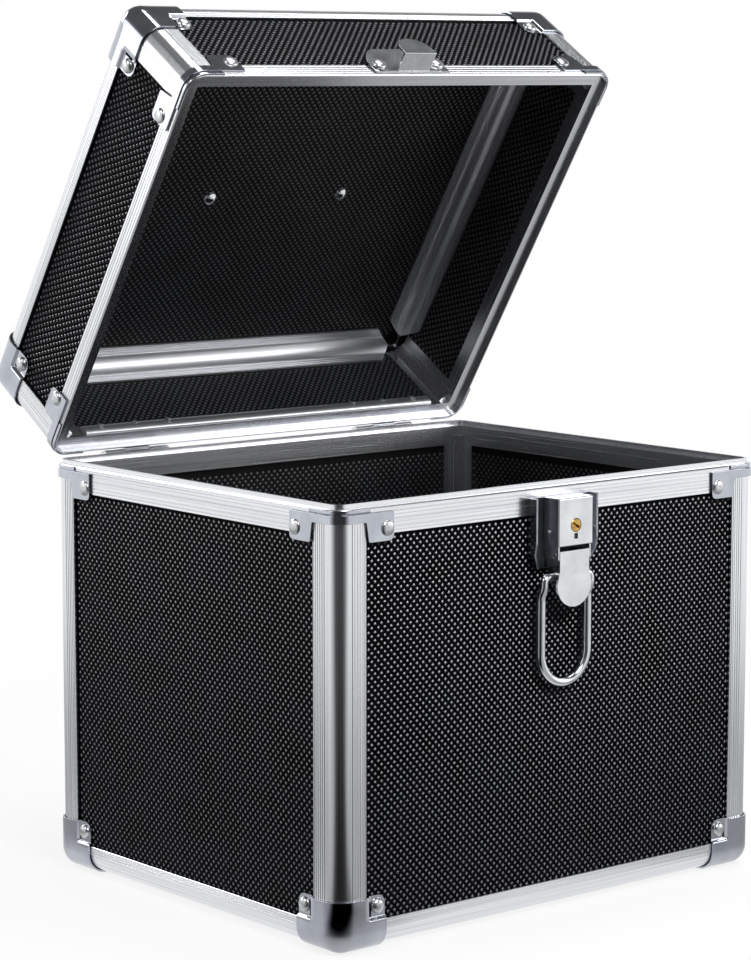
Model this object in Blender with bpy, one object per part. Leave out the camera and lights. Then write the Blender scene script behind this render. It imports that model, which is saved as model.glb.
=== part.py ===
"""A record carrying case: a box and a hinged lid made of black panels held in aluminium profiles,
with chromed corners, a key latch with a wire bail, two butt hinges and a handle.
The case stands on the floor at z = 0 and its front faces -Y. The lid is modelled closed and then
turned open about its hinge axis."""

import math

import bmesh
import bpy
from mathutils import Matrix, Vector

mm = 0.001
degree = math.pi / 180
quarter_turn, half_turn, full_turn = 90 * degree, 180 * degree, 360 * degree

# Overall sizes of the closed case, over the faces of its profiles
case_width = 345 * mm
case_depth = 285 * mm
box_height = 260 * mm
lid_height = 83 * mm
lid_open_angle = 57.5 * degree

# Clearances, cutters and roundness
fit_gap = 0.3 * mm
overrun = 20 * mm
sink = 0.2 * mm
arc_steps = 5
small_arc_steps = 3
edge_steps = 2
round_sides = 16
rivet_sides = 10
smooth_angle = 32 * degree
inner_round = 0.5 * mm

# Aluminium profiles that hold the panels
skin = 1.6 * mm
panel_thickness = 6 * mm
slot = panel_thickness + 2 * fit_gap
inner_wall = 2.2 * mm
slot_depth = skin + slot
profile_depth = slot_depth + inner_wall
edge_radius = 11.5 * mm
profile_web = 9.5 * mm
rail_wing = 17 * mm
rail_lip = 14 * mm
post_wing = 22 * mm
post_lip = 24 * mm
post_cove = 17 * mm

# Rim profiles round the two mouths: the box has a tongue that the lid's rim closes over
box_rim_face = 16 * mm
box_rim_web = 7 * mm
box_rim_lip = 13 * mm
rim_chamfer = 0.8 * mm
tongue_inset = 2.2 * mm
tongue_thickness = 1.8 * mm
tongue_height = 3 * mm
lid_rim_face = 11 * mm
lid_rim_rebate = 3.5 * mm
lid_rim_web = 4 * mm
lid_rim_lip = 13.5 * mm
post_end_depth = 6.7 * mm

# Chromed corners with pressed ears, and the caps at the mouth corners
chrome_thickness = 1.2 * mm
corner_proud = chrome_thickness + fit_gap
corner_ease = 0.5 * mm
corner_arm = 38 * mm
corner_height = 32 * mm
ear_round = 5.5 * mm
step_wall = 2 * mm
cap_arm = 41.5 * mm
cap_top = 3 * mm
cap_bottom = 20 * mm
cap_band_bottom = 8.2 * mm
cap_window = 21 * mm
cap_window_round = 3 * mm
cap_round = 3.5 * mm
cap_rivet_reach = 36.5 * mm
cap_rivet_depth = 12.5 * mm
rivet_radius = 4.7 * mm
rivet_height = 1.8 * mm
dome_shares = ((0, 1), (0.5, 0.86), (0.87, 0.5), (1, 0.12))
small_rivet_radius = 2.6 * mm
small_rivet_height = 1.1 * mm

# Inner angles that cover the joint of the lid's top and walls
strip_leg = 17 * mm
strip_thickness = 1.5 * mm
strip_cove = 9 * mm
strip_end_inset = 16 * mm

# Hinges at the rear rim
hinge_offset = 5 * mm
hinge_cap_gap = 1 * mm
hinge_width = 50 * mm
hinge_leaf_thickness = 1.4 * mm
hinge_lower_leaf_height = 14 * mm
hinge_upper_leaf_height = 12 * mm
hinge_leaf_start = 3 * mm
hinge_knuckle_radius = 4 * mm
hinge_pin_radius = 1.4 * mm
hinge_middle_share = 0.4
hinge_rivet_shares = (-0.36, 0.0, 0.36)
hinge_rivet_height_share = 0.62

# Latch on the front: base plate, lock body, lever with its pin, and wire bail
latch_drop = 5.5 * mm
base_plate_width = 51 * mm
base_plate_height = 43 * mm
base_plate_thickness = 1.5 * mm
base_flange = 6 * mm
base_foot_flange = 2.4 * mm
base_shoulder = 34 * mm
base_foot_width = 42 * mm
base_boss_radius = 2.6 * mm
base_boss_width = 30 * mm
base_boss_rise = 7 * mm
base_rivet_drop = 23 * mm
lock_width = 28 * mm
lock_height = 29.2 * mm
lock_front = 15.3 * mm
lock_edge = 0.8 * mm
lock_centre_drop = 16.8 * mm
cylinder_radius = 4 * mm
cylinder_length = 9 * mm
key_slot_width = 1.2 * mm
key_slot_length = 5.6 * mm
key_slot_depth = 2 * mm
cheek_thickness = 1 * mm
cheek_drop = 8 * mm
lever_slit = 2.9 * mm
lever_width = 24 * mm
lever_flare = 28.2 * mm
lever_length = 34.3 * mm
lever_wall = 1.5 * mm
lever_front = 14.3 * mm
lever_flange_depth = 9.5 * mm
lever_flange_height = 21 * mm
lever_pivot_drop = 2.6 * mm
lever_pivot_out = 11 * mm
lever_pin_radius = 1.4 * mm
lever_straight_share = 0.34
lever_widest_share = 0.6
bail_pivot_drop = 53.4 * mm
bail_pivot_out = 8 * mm
bail_wire_radius = 2.5 * mm
bail_play = 0.4 * mm
bail_leg_spacing = 38 * mm
bail_stub_end = 9.6 * mm
bail_bend = 3.5 * mm
bail_crank = 3.3 * mm
bail_crank_start = 5 * mm
bail_crank_end = 13.5 * mm
wire_sides = 10

# Strike on the lid's front rim
strike_width = 60 * mm
strike_height = 14 * mm
strike_thickness = 1.2 * mm
strike_start = 0.8 * mm
strike_round = 6 * mm
strike_rivet_spacing = 47 * mm
hook_width = 25.6 * mm
hook_front = 15 * mm
hook_wall = 1.6 * mm
hook_start = 1.2 * mm
hook_length = 17 * mm

# Handle on the lid and its two bolts
bolt_spacing = 110 * mm
handle_foot_length = 26 * mm
handle_foot_width = 22 * mm
handle_foot_height = 7 * mm
handle_foot_round = 5.5 * mm
handle_corner_share = 0.33
handle_rise = 34 * mm
handle_grip_width = 20 * mm
handle_grip_height = 13 * mm
handle_leg_thickness = 12 * mm
handle_path_shares = ((-1, 0.1), (-0.99, 0.35), (-0.93, 0.62), (-0.8, 0.82), (-0.6, 0.94), (-0.3, 0.99))
bolt_radius = 2.5 * mm
bolt_head_radius = 5 * mm
bolt_head_height = 3 * mm
bolt_bite = 12 * mm

# Keys that lie loose on the floor of the box
key_thickness = 1.8 * mm
key_bow = 16 * mm
key_bow_round = 3.5 * mm
key_length = 32 * mm
key_stem = 4.6 * mm
key_bit = 3 * mm
key_shoulder = 7 * mm
key_hole_radius = 1.9 * mm
key_place_shares = ((-0.35, -0.49), (-0.07, -0.575))
key_turns = (25 * degree, -35 * degree)

# Heights and half sizes that follow
base_z = corner_proud
rim_z = base_z + box_height
mouth_z = rim_z + fit_gap
lid_top_z = mouth_z + lid_height
half_width = case_width / 2
half_depth = case_depth / 2
panel_face = skin + fit_gap
panel_back = panel_face + panel_thickness
panel_edge = profile_web + fit_gap
corner_radius = edge_radius + corner_proud
corner_hollow_radius = edge_radius - corner_ease
ear_face = skin - chrome_thickness
lock_bottom_drop = latch_drop + lock_height
lever_top_drop = lock_bottom_drop + lever_slit
lever_pivot_z = rim_z - lever_top_drop - lever_pivot_drop
bail_pivot_z = rim_z - bail_pivot_drop
bail_leg = bail_leg_spacing / 2
bail_sag = math.sqrt((bail_leg - bail_wire_radius - bail_play) ** 2 - (hook_width / 2) ** 2)
bail_reach = bail_pivot_drop + fit_gap + hook_start + hook_wall + bail_leg - bail_sag
front_y = -half_depth
hinge_y = half_depth + hinge_offset
hinge_centre = half_width - cap_arm - hinge_cap_gap - hinge_width / 2


def clear_scene():
    for thing in list(bpy.data.objects):
        bpy.data.objects.remove(thing, do_unlink=True)


def make_material(name, colour, roughness, metallic):
    material = bpy.data.materials.new(name)
    material.use_nodes = True
    shader = material.node_tree.nodes["Principled BSDF"]
    shader.inputs["Base Color"].default_value = (*colour, 1)
    shader.inputs["Roughness"].default_value = roughness
    shader.inputs["Metallic"].default_value = metallic
    return material


def mesh_from(vertices, faces):
    """A closed mesh with its faces turned outwards."""
    work = bmesh.new()
    made = [work.verts.new(v) for v in vertices]
    for face in faces:
        work.faces.new([made[i] for i in face])
    return finished(work)


def finished(work):
    bmesh.ops.recalc_face_normals(work, faces=work.faces)
    mesh = bpy.data.meshes.new("piece")
    work.to_mesh(mesh)
    work.free()
    return mesh


def loft(loops, closed=False):
    """Skin between loops with equal numbers of points, closed on itself or capped at both ends."""
    count = len(loops[0])
    vertices = [point for loop in loops for point in loop]
    faces = []
    for row in range(len(loops) if closed else len(loops) - 1):
        near, far = row * count, ((row + 1) % len(loops)) * count
        for i in range(count):
            j = (i + 1) % count
            faces.append((near + i, near + j, far + j, far + i))
    if not closed:
        faces.append(tuple(range(count)))
        faces.append(tuple(range((len(loops) - 1) * count, len(loops) * count)))
    return mesh_from(vertices, faces)


def prism(outline, axis, low, high):
    """An outline in the two other axes, drawn out along x, y or z from low to high."""
    order = {"x": (2, 0, 1), "y": (0, 2, 1), "z": (0, 1, 2)}[axis]
    loops = []
    for level in (low, high):
        rows = [(a, b, level) for a, b in outline]
        loops.append([tuple(row[i] for i in order) for row in rows])
    return loft(loops)


def block(low, high):
    outline = ((low[0], low[1]), (high[0], low[1]), (high[0], high[1]), (low[0], high[1]))
    return prism(outline, "z", low[2], high[2])


def arc(centre, radius, start, end, steps):
    points = []
    for i in range(steps + 1):
        angle = start + (end - start) * i / steps
        points.append((centre[0] + radius * math.cos(angle), centre[1] + radius * math.sin(angle)))
    return points


def rounded_rectangle(half_x, half_y, radius, steps):
    points = []
    for i, (sx, sy) in enumerate(((1, 1), (-1, 1), (-1, -1), (1, -1))):
        centre = (sx * (half_x - radius), sy * (half_y - radius))
        points += arc(centre, radius, i * quarter_turn, (i + 1) * quarter_turn, steps)
    return points


def ring(section, outer_count):
    """A profile, given as inset and height, carried round the case's rounded rectangle.
    Its first points lie on the outer face, which turns the corner as a ball does."""
    loops = []
    for i, (inset, height) in enumerate(section):
        radius = (edge_radius if i < outer_count else profile_web) - inset
        radius = max(radius, inner_round)
        plan = rounded_rectangle(half_width - inset, half_depth - inset, radius, small_arc_steps)
        loops.append([(x, y, height) for x, y in plan])
    return loft(loops, closed=True)


def circle(centre, radius, sides):
    return arc(centre, radius, 0, full_turn * (sides - 1) / sides, sides - 1)


def rod(centre, axis, radius, low, high, sides=round_sides):
    """A round bar along an axis; the centre gives its place in the two other axes."""
    return prism(circle(centre, radius, sides), axis, low, high)


def dome(place, outward, radius, height, sides=rivet_sides):
    """A rivet head on a face, with a short foot sunk into it."""
    outward = Vector(outward)
    turn = Vector((0, 0, 1)).rotation_difference(outward).to_matrix()
    levels = [(-sink, radius)] + [(height * rise, radius * reach) for rise, reach in dome_shares]
    loops = []
    for rise, reach in levels:
        flat = circle((0, 0), reach, sides)
        loops.append([tuple(Vector(place) + turn @ Vector((x, y, rise))) for x, y in flat])
    return loft(loops)


def boolean(first, second, operation):
    """The first mesh cut by, joined with or kept inside the second one."""
    holders = []
    for mesh in (first, second):
        holder = bpy.data.objects.new("work", mesh)
        bpy.context.scene.collection.objects.link(holder)
        holders.append(holder)
    modifier = holders[0].modifiers.new("Boolean", "BOOLEAN")
    modifier.operation = operation
    modifier.object = holders[1]
    modifier.solver = "EXACT"
    graph = bpy.context.evaluated_depsgraph_get()
    result = bpy.data.meshes.new_from_object(holders[0].evaluated_get(graph))
    for holder in holders:
        bpy.data.objects.remove(holder, do_unlink=True)
    return result


def cut(mesh, *cutters):
    for cutter in cutters:
        mesh = boolean(mesh, cutter, "DIFFERENCE")
    return mesh


def fuse(mesh, *pieces):
    for piece in pieces:
        mesh = boolean(mesh, piece, "UNION")
    return mesh


def bevel_edges(mesh, chosen, radius, steps):
    """Rounds the edges whose two ends both pass the test."""
    work = bmesh.new()
    work.from_mesh(mesh)
    edges = [e for e in work.edges if chosen(e.verts[0].co, e.verts[1].co)]
    bmesh.ops.bevel(work, geom=edges, offset=radius, offset_type="OFFSET", segments=steps,
                    profile=0.5, affect="EDGES", clamp_overlap=False)
    return finished(work)


def mirrored(mesh, signs, place):
    """A copy with its axes flipped by the signs, moved to its place, faces still outwards."""
    copy = mesh.copy()
    copy.transform(Matrix.Translation(place) @ Matrix.Diagonal((*signs, 1)))
    if signs[0] * signs[1] * signs[2] < 0:
        copy.flip_normals()
    return copy


clear_scene()
scene = bpy.context.scene
homes = {}


def add_holder(name, place, parent=None):
    """An empty at a joint's axis or at the case's origin."""
    holder = bpy.data.objects.new(name, None)
    scene.collection.objects.link(holder)
    homes[name] = Vector(place)
    holder.parent = parent
    holder.location = homes[name] - (homes[parent.name] if parent else Vector())
    return holder


def add_piece(name, mesh, material, holder):
    """A named piece, modelled in the closed case's place and hung on its holder."""
    mesh.transform(Matrix.Translation(-homes[holder.name]))
    mesh.name = name
    mesh.materials.clear()
    mesh.materials.append(material)
    mesh.shade_smooth()
    mesh.set_sharp_from_angle(angle=smooth_angle)
    piece = bpy.data.objects.new(name, mesh)
    scene.collection.objects.link(piece)
    piece.parent = holder
    return piece


aluminium = make_material("brushed aluminium", (0.62, 0.63, 0.66), 0.32, 1)
chrome = make_material("chrome", (0.72, 0.73, 0.76), 0.12, 1)
black_panel = make_material("black textured laminate", (0.012, 0.013, 0.017), 0.42, 0)
zinc_steel = make_material("polished steel", (0.68, 0.69, 0.72), 0.18, 1)
brass = make_material("brass", (0.62, 0.46, 0.2), 0.28, 1)
black_plastic = make_material("black moulded plastic", (0.02, 0.02, 0.022), 0.5, 0)
nickel_key = make_material("nickel plated key", (0.78, 0.78, 0.79), 0.25, 1)

case = add_holder("case_origin", (0, 0, 0))
lid = add_holder("lid_axis", (0, hinge_y, rim_z), case)
lever = add_holder("lever_axis", (0, front_y - lever_pivot_out, lever_pivot_z), case)
bail = add_holder("bail_axis", (0, front_y - bail_pivot_out, bail_pivot_z), lever)
lock = add_holder("lock_axis", (0, front_y - lock_front, rim_z - latch_drop - lock_centre_drop), case)

corner_signs = {"front_left": (1, 1), "front_right": (-1, 1), "rear_left": (1, -1), "rear_right": (-1, -1)}


# Profiles


def outer_arc():
    """The rounded outer edge, from one face to the other."""
    return arc((edge_radius, edge_radius), edge_radius, 3 * quarter_turn, half_turn, arc_steps)


def post_section():
    """Outer skin with two wings, two panel slots, and an inner angle with a cove."""
    return ([(post_wing, 0)] + outer_arc() + [
        (0, post_wing), (skin, post_wing), (skin, profile_web), (slot_depth, profile_web),
        (slot_depth, post_lip), (profile_depth, post_lip), (profile_depth, post_cove),
        (post_cove, profile_depth), (post_lip, profile_depth), (post_lip, slot_depth),
        (profile_web, slot_depth), (profile_web, skin), (post_wing, skin)])


def rail_section(with_lips):
    """The same for a rail; the lid's top rails leave their inner side to the inner angles."""
    lips = [(slot_depth, rail_lip), (profile_depth, rail_lip), (profile_depth, profile_depth),
            (rail_lip, profile_depth), (rail_lip, slot_depth)]
    return ([(rail_wing, 0)] + outer_arc() + [
        (0, rail_wing), (skin, rail_wing), (skin, profile_web), (slot_depth, profile_web)]
        + (lips if with_lips else [(slot_depth, slot_depth)])
        + [(profile_web, slot_depth), (profile_web, skin), (rail_wing, skin)])


def box_rim_section():
    tongue_back = tongue_inset + tongue_thickness
    return [(0, -box_rim_face), (0, -rim_chamfer), (rim_chamfer, 0), (tongue_inset, 0),
            (tongue_inset, tongue_height), (tongue_back, tongue_height), (tongue_back, 0),
            (profile_depth, 0), (profile_depth, -box_rim_lip), (slot_depth, -box_rim_lip),
            (slot_depth, -box_rim_web), (skin, -box_rim_web), (skin, -box_rim_face)]


def lid_rim_section():
    web_top = lid_rim_rebate + lid_rim_web
    return [(0, lid_rim_face), (0, rim_chamfer), (rim_chamfer, 0), (skin, 0), (skin, lid_rim_rebate),
            (profile_depth, lid_rim_rebate), (profile_depth, lid_rim_lip), (slot_depth, lid_rim_lip),
            (slot_depth, web_top), (skin, web_top), (skin, lid_rim_face)]


def post_notches(low, high):
    """Room for the four posts in a rim profile, between two heights."""
    reach = post_lip + fit_gap
    cutters = []
    for sx, sy in corner_signs.values():
        x_ends = sorted((-sx * (half_width - reach), -sx * (half_width + overrun)))
        y_ends = sorted((-sy * (half_depth - reach), -sy * (half_depth + overrun)))
        cutters.append(block((x_ends[0], y_ends[0], low), (x_ends[1], y_ends[1], high)))
    return cutters


# How many points of each section lie on its outer face
rail_outer_count, rim_outer_count = len(outer_arc()) + 2, 3


def shifted(section, height, sign=1):
    return [(inset, height + sign * rise) for inset, rise in section]


add_piece("box_base_frame", ring(shifted(rail_section(True), base_z), rail_outer_count), aluminium, case)
box_rim = ring(shifted(box_rim_section(), rim_z), rim_outer_count)
box_rim = cut(box_rim, *post_notches(rim_z - box_rim_face - overrun, rim_z - post_end_depth))
add_piece("box_rim_frame", box_rim, aluminium, case)
lid_rim = ring(shifted(lid_rim_section(), mouth_z), rim_outer_count)
lid_rim = cut(lid_rim, *post_notches(mouth_z + post_end_depth, mouth_z + lid_rim_lip + overrun))
add_piece("lid_rim_frame", lid_rim, aluminium, lid)
lid_top = ring(shifted(rail_section(False), lid_top_z, -1), rail_outer_count)
add_piece("lid_top_frame", lid_top, aluminium, lid)

box_post = prism(post_section(), "z", base_z + rail_wing + fit_gap, rim_z - post_end_depth - fit_gap)
lid_post = prism(post_section(), "z", mouth_z + post_end_depth + fit_gap,
                 lid_top_z - rail_wing - fit_gap)
for where, (sx, sy) in corner_signs.items():
    place = (-sx * half_width, -sy * half_depth, 0)
    add_piece("box_post_" + where, mirrored(box_post, (sx, sy, 1), place), aluminium, case)
    add_piece("lid_post_" + where, mirrored(lid_post, (sx, sy, 1), place), aluminium, lid)


# Panels


def wall_panel(side, low, high):
    """One upright panel between the posts' slots, from low to high."""
    if side in ("front", "rear"):
        sign = 1 if side == "front" else -1
        ends = sorted((-sign * (half_depth - panel_face), -sign * (half_depth - panel_back)))
        return block((-half_width + panel_edge, ends[0], low), (half_width - panel_edge, ends[1], high))
    sign = 1 if side == "left" else -1
    ends = sorted((-sign * (half_width - panel_face), -sign * (half_width - panel_back)))
    return block((ends[0], -half_depth + panel_edge, low), (ends[1], half_depth - panel_edge, high))


def flat_panel(low):
    return block((-half_width + panel_edge, -half_depth + panel_edge, low),
                 (half_width - panel_edge, half_depth - panel_edge, low + panel_thickness))


box_panel_ends = (base_z + panel_edge, rim_z - box_rim_web - fit_gap)
lid_panel_ends = (mouth_z + lid_rim_rebate + lid_rim_web + fit_gap, lid_top_z - panel_edge)
for side in ("front", "rear", "left", "right"):
    add_piece("box_" + side + "_panel", wall_panel(side, *box_panel_ends), black_panel, case)
    add_piece("lid_" + side + "_panel", wall_panel(side, *lid_panel_ends), black_panel, lid)
add_piece("box_bottom_panel", flat_panel(base_z + panel_face), black_panel, case)
top_panel_low = lid_top_z - panel_back
bolt_places = {"left": -bolt_spacing / 2, "right": bolt_spacing / 2}
top_panel = cut(flat_panel(top_panel_low),
                *(rod((x, 0), "z", bolt_radius + fit_gap, top_panel_low - overrun, lid_top_z + overrun)
                  for x in bolt_places.values()))
add_piece("lid_top_panel", top_panel, black_panel, lid)


# Chromed corners: a shell over the rails and the post, with a pressed ear and a rivet on each face


def corner_block(offset, radius, reach):
    """A block whose outer corner lies offset outside the case, rounded along three edges."""
    low = -offset
    solid = block((low, low, low), (reach, reach, reach))

    def outer(a, b):
        middle = (a + b) / 2
        return sum(1 for value in middle if value < low + fit_gap) >= 2
    return bevel_edges(solid, outer, radius, arc_steps - 1)


def ball_corner():
    thick = chrome_thickness
    shell = cut(corner_block(corner_proud, corner_radius, corner_arm + overrun),
                corner_block(corner_proud - thick, corner_hollow_radius, corner_arm + 2 * overrun))
    far = corner_arm + overrun
    post_side, rail_side = post_wing + fit_gap, rail_wing + fit_gap
    ears = {0: (0, post_side, rail_side), 1: (post_side, 0, rail_side), 2: (rail_side, rail_side, 0)}
    middle_of_shell = -fit_gap - thick / 2
    for axis, starts in ears.items():
        low, high = list(starts), [far, far, far]
        low[axis], high[axis] = middle_of_shell, skin
        shell = fuse(shell, block(low, high))
    for axis, starts in ears.items():
        low, high = [start + step_wall for start in starts], [far + overrun] * 3
        low[axis], high[axis] = -overrun, ear_face
        shell = cut(shell, block(low, high))

    tops = (corner_arm, corner_arm, corner_height)
    envelope = block((-overrun, -overrun, -overrun), tops)

    def far_edge(a, b):
        near_top = [abs(a[i] - tops[i]) < fit_gap and abs(b[i] - tops[i]) < fit_gap for i in range(3)]
        return sum(near_top) == 2
    shell = boolean(shell, bevel_edges(envelope, far_edge, ear_round, arc_steps), "INTERSECT")
    for axis, starts in ears.items():
        place = [(start + step_wall + top) / 2 for start, top in zip(starts, tops)]
        place[axis] = ear_face
        outward = [0, 0, 0]
        outward[axis] = -1
        shell = fuse(shell, dome(place, outward, rivet_radius, rivet_height))
    return shell


def rim_cap():
    """An L-shaped cap below a mouth corner: two riveted tabs joined by a band over the post."""
    outer_face, inner_face = -corner_proud, -fit_gap
    outline = [(cap_arm + overrun, outer_face)]
    outline += arc((edge_radius, edge_radius), corner_radius, 3 * quarter_turn, half_turn, arc_steps)
    outline += [(outer_face, cap_arm + overrun), (inner_face, cap_arm + overrun)]
    hollow_centre = corner_hollow_radius - fit_gap
    outline += arc((hollow_centre, hollow_centre), corner_hollow_radius, half_turn, 3 * quarter_turn,
                   arc_steps)
    outline += [(inner_face + cap_arm + overrun, inner_face)]
    wall = prism(outline, "z", cap_top - overrun, cap_bottom + overrun)

    window = block((-overrun, -overrun, cap_band_bottom), (cap_window, cap_window, cap_bottom + 2 * overrun))

    def window_edge(a, b):
        level = abs(a.z - cap_band_bottom) < fit_gap and abs(b.z - cap_band_bottom) < fit_gap
        along = any(abs(a[i] - cap_window) < fit_gap and abs(b[i] - cap_window) < fit_gap for i in (0, 1))
        return level and along
    wall = cut(wall, bevel_edges(window, window_edge, cap_window_round, small_arc_steps))

    envelope = block((-overrun, -overrun, cap_top), (cap_arm, cap_arm, cap_bottom))

    def tab_edge(a, b):
        flat = abs(a.z - b.z) < fit_gap
        along = any(abs(a[i] - cap_arm) < fit_gap and abs(b[i] - cap_arm) < fit_gap for i in (0, 1))
        return flat and along
    wall = boolean(wall, bevel_edges(envelope, tab_edge, cap_round, small_arc_steps), "INTERSECT")
    for place, outward in (((cap_rivet_reach, outer_face, cap_rivet_depth), (0, -1, 0)),
                           ((outer_face, cap_rivet_reach, cap_rivet_depth), (-1, 0, 0))):
        wall = fuse(wall, dome(place, outward, rivet_radius, rivet_height))
    return wall


corner_mesh, cap_mesh = ball_corner(), rim_cap()
for where, (sx, sy) in corner_signs.items():
    x, y = -sx * half_width, -sy * half_depth
    add_piece("box_corner_" + where, mirrored(corner_mesh, (sx, sy, 1), (x, y, base_z)), chrome, case)
    add_piece("box_rim_cap_" + where, mirrored(cap_mesh, (sx, sy, -1), (x, y, rim_z)), chrome, case)
    add_piece("lid_corner_" + where, mirrored(corner_mesh, (sx, sy, -1), (x, y, lid_top_z)), chrome, lid)
    add_piece("lid_rim_cap_" + where, mirrored(cap_mesh, (sx, sy, 1), (x, y, mouth_z)), chrome, lid)


# Inner angles of the lid, with mitred ends short of the corners


def strip_mesh(along, half_length, half_across, sign):
    """A flange on the wall, a cove and a flange on the top, as insets from the outer faces."""
    start = slot_depth + fit_gap
    outline = [(0, 0), (strip_leg, 0), (strip_leg, strip_thickness), (strip_cove, strip_thickness),
               (strip_thickness, strip_cove), (strip_thickness, strip_leg), (0, strip_leg)]
    loops = []
    for end in (-1, 1):
        loop = []
        for a, b in outline:
            reach = end * (half_length - strip_end_inset - max(a, b))
            across = -sign * (half_across - start - a)
            height = lid_top_z - start - b
            loop.append((reach, across, height) if along == "x" else (across, reach, height))
        loops.append(loop)
    return loft(loops)


for side, along, sign in (("front", "x", 1), ("rear", "x", -1), ("left", "y", 1), ("right", "y", -1)):
    lengths = (half_width, half_depth) if along == "x" else (half_depth, half_width)
    add_piece("lid_inner_strip_" + side, strip_mesh(along, *lengths, sign), aluminium, lid)


# Hinges: the lower leaf carries the outer knuckles, the upper leaf the middle one


def hinge_leaf(centre_x, upper):
    """A leaf on the rear face of a rim with its knuckles round the hinge axis."""
    sign = 1 if upper else -1
    leaf_height = hinge_upper_leaf_height if upper else hinge_lower_leaf_height
    middle = hinge_width * hinge_middle_share / 2
    near = half_depth + fit_gap
    far = near + hinge_leaf_thickness
    half = hinge_width / 2
    ends = sorted((rim_z + sign * hinge_leaf_start, rim_z + sign * leaf_height))
    leaf = block((centre_x - half, near, ends[0]), (centre_x + half, far, ends[1]))
    spans = [(-middle + fit_gap, middle - fit_gap)] if upper else [(-half, -middle), (middle, half)]
    tongue_low, tongue_high = sorted((rim_z, rim_z + sign * leaf_height / 2))
    for low, high in spans:
        low, high = centre_x + low, centre_x + high
        web = block((low, near, tongue_low), (high, far, tongue_high))
        knuckle = rod((hinge_y, rim_z), "x", hinge_knuckle_radius, low, high)
        leaf = fuse(leaf, web, knuckle)
    bore = rod((hinge_y, rim_z), "x", hinge_pin_radius + fit_gap, centre_x - hinge_width,
               centre_x + hinge_width)
    leaf = cut(leaf, bore)
    for share in hinge_rivet_shares:
        place = (centre_x + share * hinge_width, far, rim_z + sign * leaf_height * hinge_rivet_height_share)
        leaf = fuse(leaf, dome(place, (0, 1, 0), small_rivet_radius, small_rivet_height))
    return leaf


for side, centre_x in (("left", -hinge_centre), ("right", hinge_centre)):
    add_piece("hinge_" + side + "_lower_leaf", hinge_leaf(centre_x, False), zinc_steel, case)
    add_piece("hinge_" + side + "_upper_leaf", hinge_leaf(centre_x, True), zinc_steel, lid)
    half = hinge_width / 2
    pin = rod((hinge_y, rim_z), "x", hinge_pin_radius, centre_x - half, centre_x + half)
    add_piece("hinge_" + side + "_pin", pin, zinc_steel, case)


# Latch, with depths counted outwards from the front face


def outward_prism(outline, low_out, high_out):
    """An outline in x and height above the rim, drawn out from the front face."""
    raised = [(x, rim_z + z) for x, z in outline]
    return prism(raised, "y", front_y - high_out, front_y - low_out)


def latch_base_plate():
    top, shoulder, foot = -latch_drop, -latch_drop - base_shoulder, -latch_drop - base_plate_height
    half, narrow = base_plate_width / 2, base_foot_width / 2
    outline = [(-half, top), (-half, shoulder), (-narrow, foot),
               (narrow, foot), (half, shoulder), (half, top)]
    floor = fit_gap + base_plate_thickness
    plate = outward_prism(outline, fit_gap, floor + base_flange)
    wall = base_plate_thickness
    room = [(-half + wall, top + overrun), (-half + wall, shoulder), (-narrow + wall, foot),
            (-narrow + wall, foot - overrun), (narrow - wall, foot - overrun), (narrow - wall, foot),
            (half - wall, shoulder), (half - wall, top + overrun)]
    plate = cut(plate, outward_prism(room, floor, floor + base_flange + overrun))
    foot_out, full_out, past = floor + base_foot_flange, floor + base_flange, floor + base_flange + overrun
    taper = [(front_y - foot_out, rim_z + foot - overrun), (front_y - foot_out, rim_z + foot),
             (front_y - full_out, rim_z + shoulder + base_boss_rise),
             (front_y - past, rim_z + shoulder + base_boss_rise), (front_y - past, rim_z + foot - overrun)]
    plate = cut(plate, prism(taper, "x", -base_plate_width, base_plate_width))
    boss_z = rim_z + foot + base_boss_rise
    for sign in (-1, 1):
        x = sign * base_boss_width / 2
        boss = rod((x, boss_z), "y", base_boss_radius, front_y - fit_gap - sink, front_y + skin)
        place = (sign * (lock_width / 2 + half) / 2, front_y - floor, rim_z - latch_drop - base_rivet_drop)
        head = dome(place, (0, -1, 0), small_rivet_radius, small_rivet_height)
        plate = fuse(plate, boss, head)
    return plate


def latch_lock_body():
    """A box with a bore for the cylinder and two cheeks that carry the lever's pin."""
    half, back = lock_width / 2, fit_gap + base_plate_thickness + fit_gap
    low, high = rim_z - lock_bottom_drop, rim_z - latch_drop
    body = block((-half, front_y - lock_front, low), (half, front_y - back, high))

    def front_edge(a, b):
        return abs(a.y - front_y + lock_front) < fit_gap and abs(b.y - front_y + lock_front) < fit_gap
    body = bevel_edges(body, front_edge, lock_edge, edge_steps)
    inner, outer = lever_width / 2 + fit_gap, lever_width / 2 + fit_gap + cheek_thickness
    for sign in (-1, 1):
        ends = sorted((sign * inner, sign * outer))
        cheek = block((ends[0], front_y - lever_front + sink, low - cheek_drop),
                      (ends[1], front_y - back, low + cheek_drop))
        body = fuse(body, cheek)
    pin_hole = rod((front_y - lever_pivot_out, lever_pivot_z), "x", lever_pin_radius + fit_gap,
                   -lock_width, lock_width)
    bore_end = front_y - lock_front + cylinder_length + fit_gap
    bore = rod((0, homes["lock_axis"].z), "y", cylinder_radius + fit_gap, front_y - lock_front - overrun,
               bore_end)
    return cut(body, pin_hole, bore)


def latch_cylinder():
    axis_z = homes["lock_axis"].z
    front = front_y - lock_front
    barrel = rod((0, axis_z), "y", cylinder_radius, front, front + cylinder_length)
    key_slot = block((-key_slot_width / 2, front - overrun, axis_z - key_slot_length / 2),
                     (key_slot_width / 2, front + key_slot_depth, axis_z + key_slot_length / 2))
    return cut(barrel, key_slot)


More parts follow.
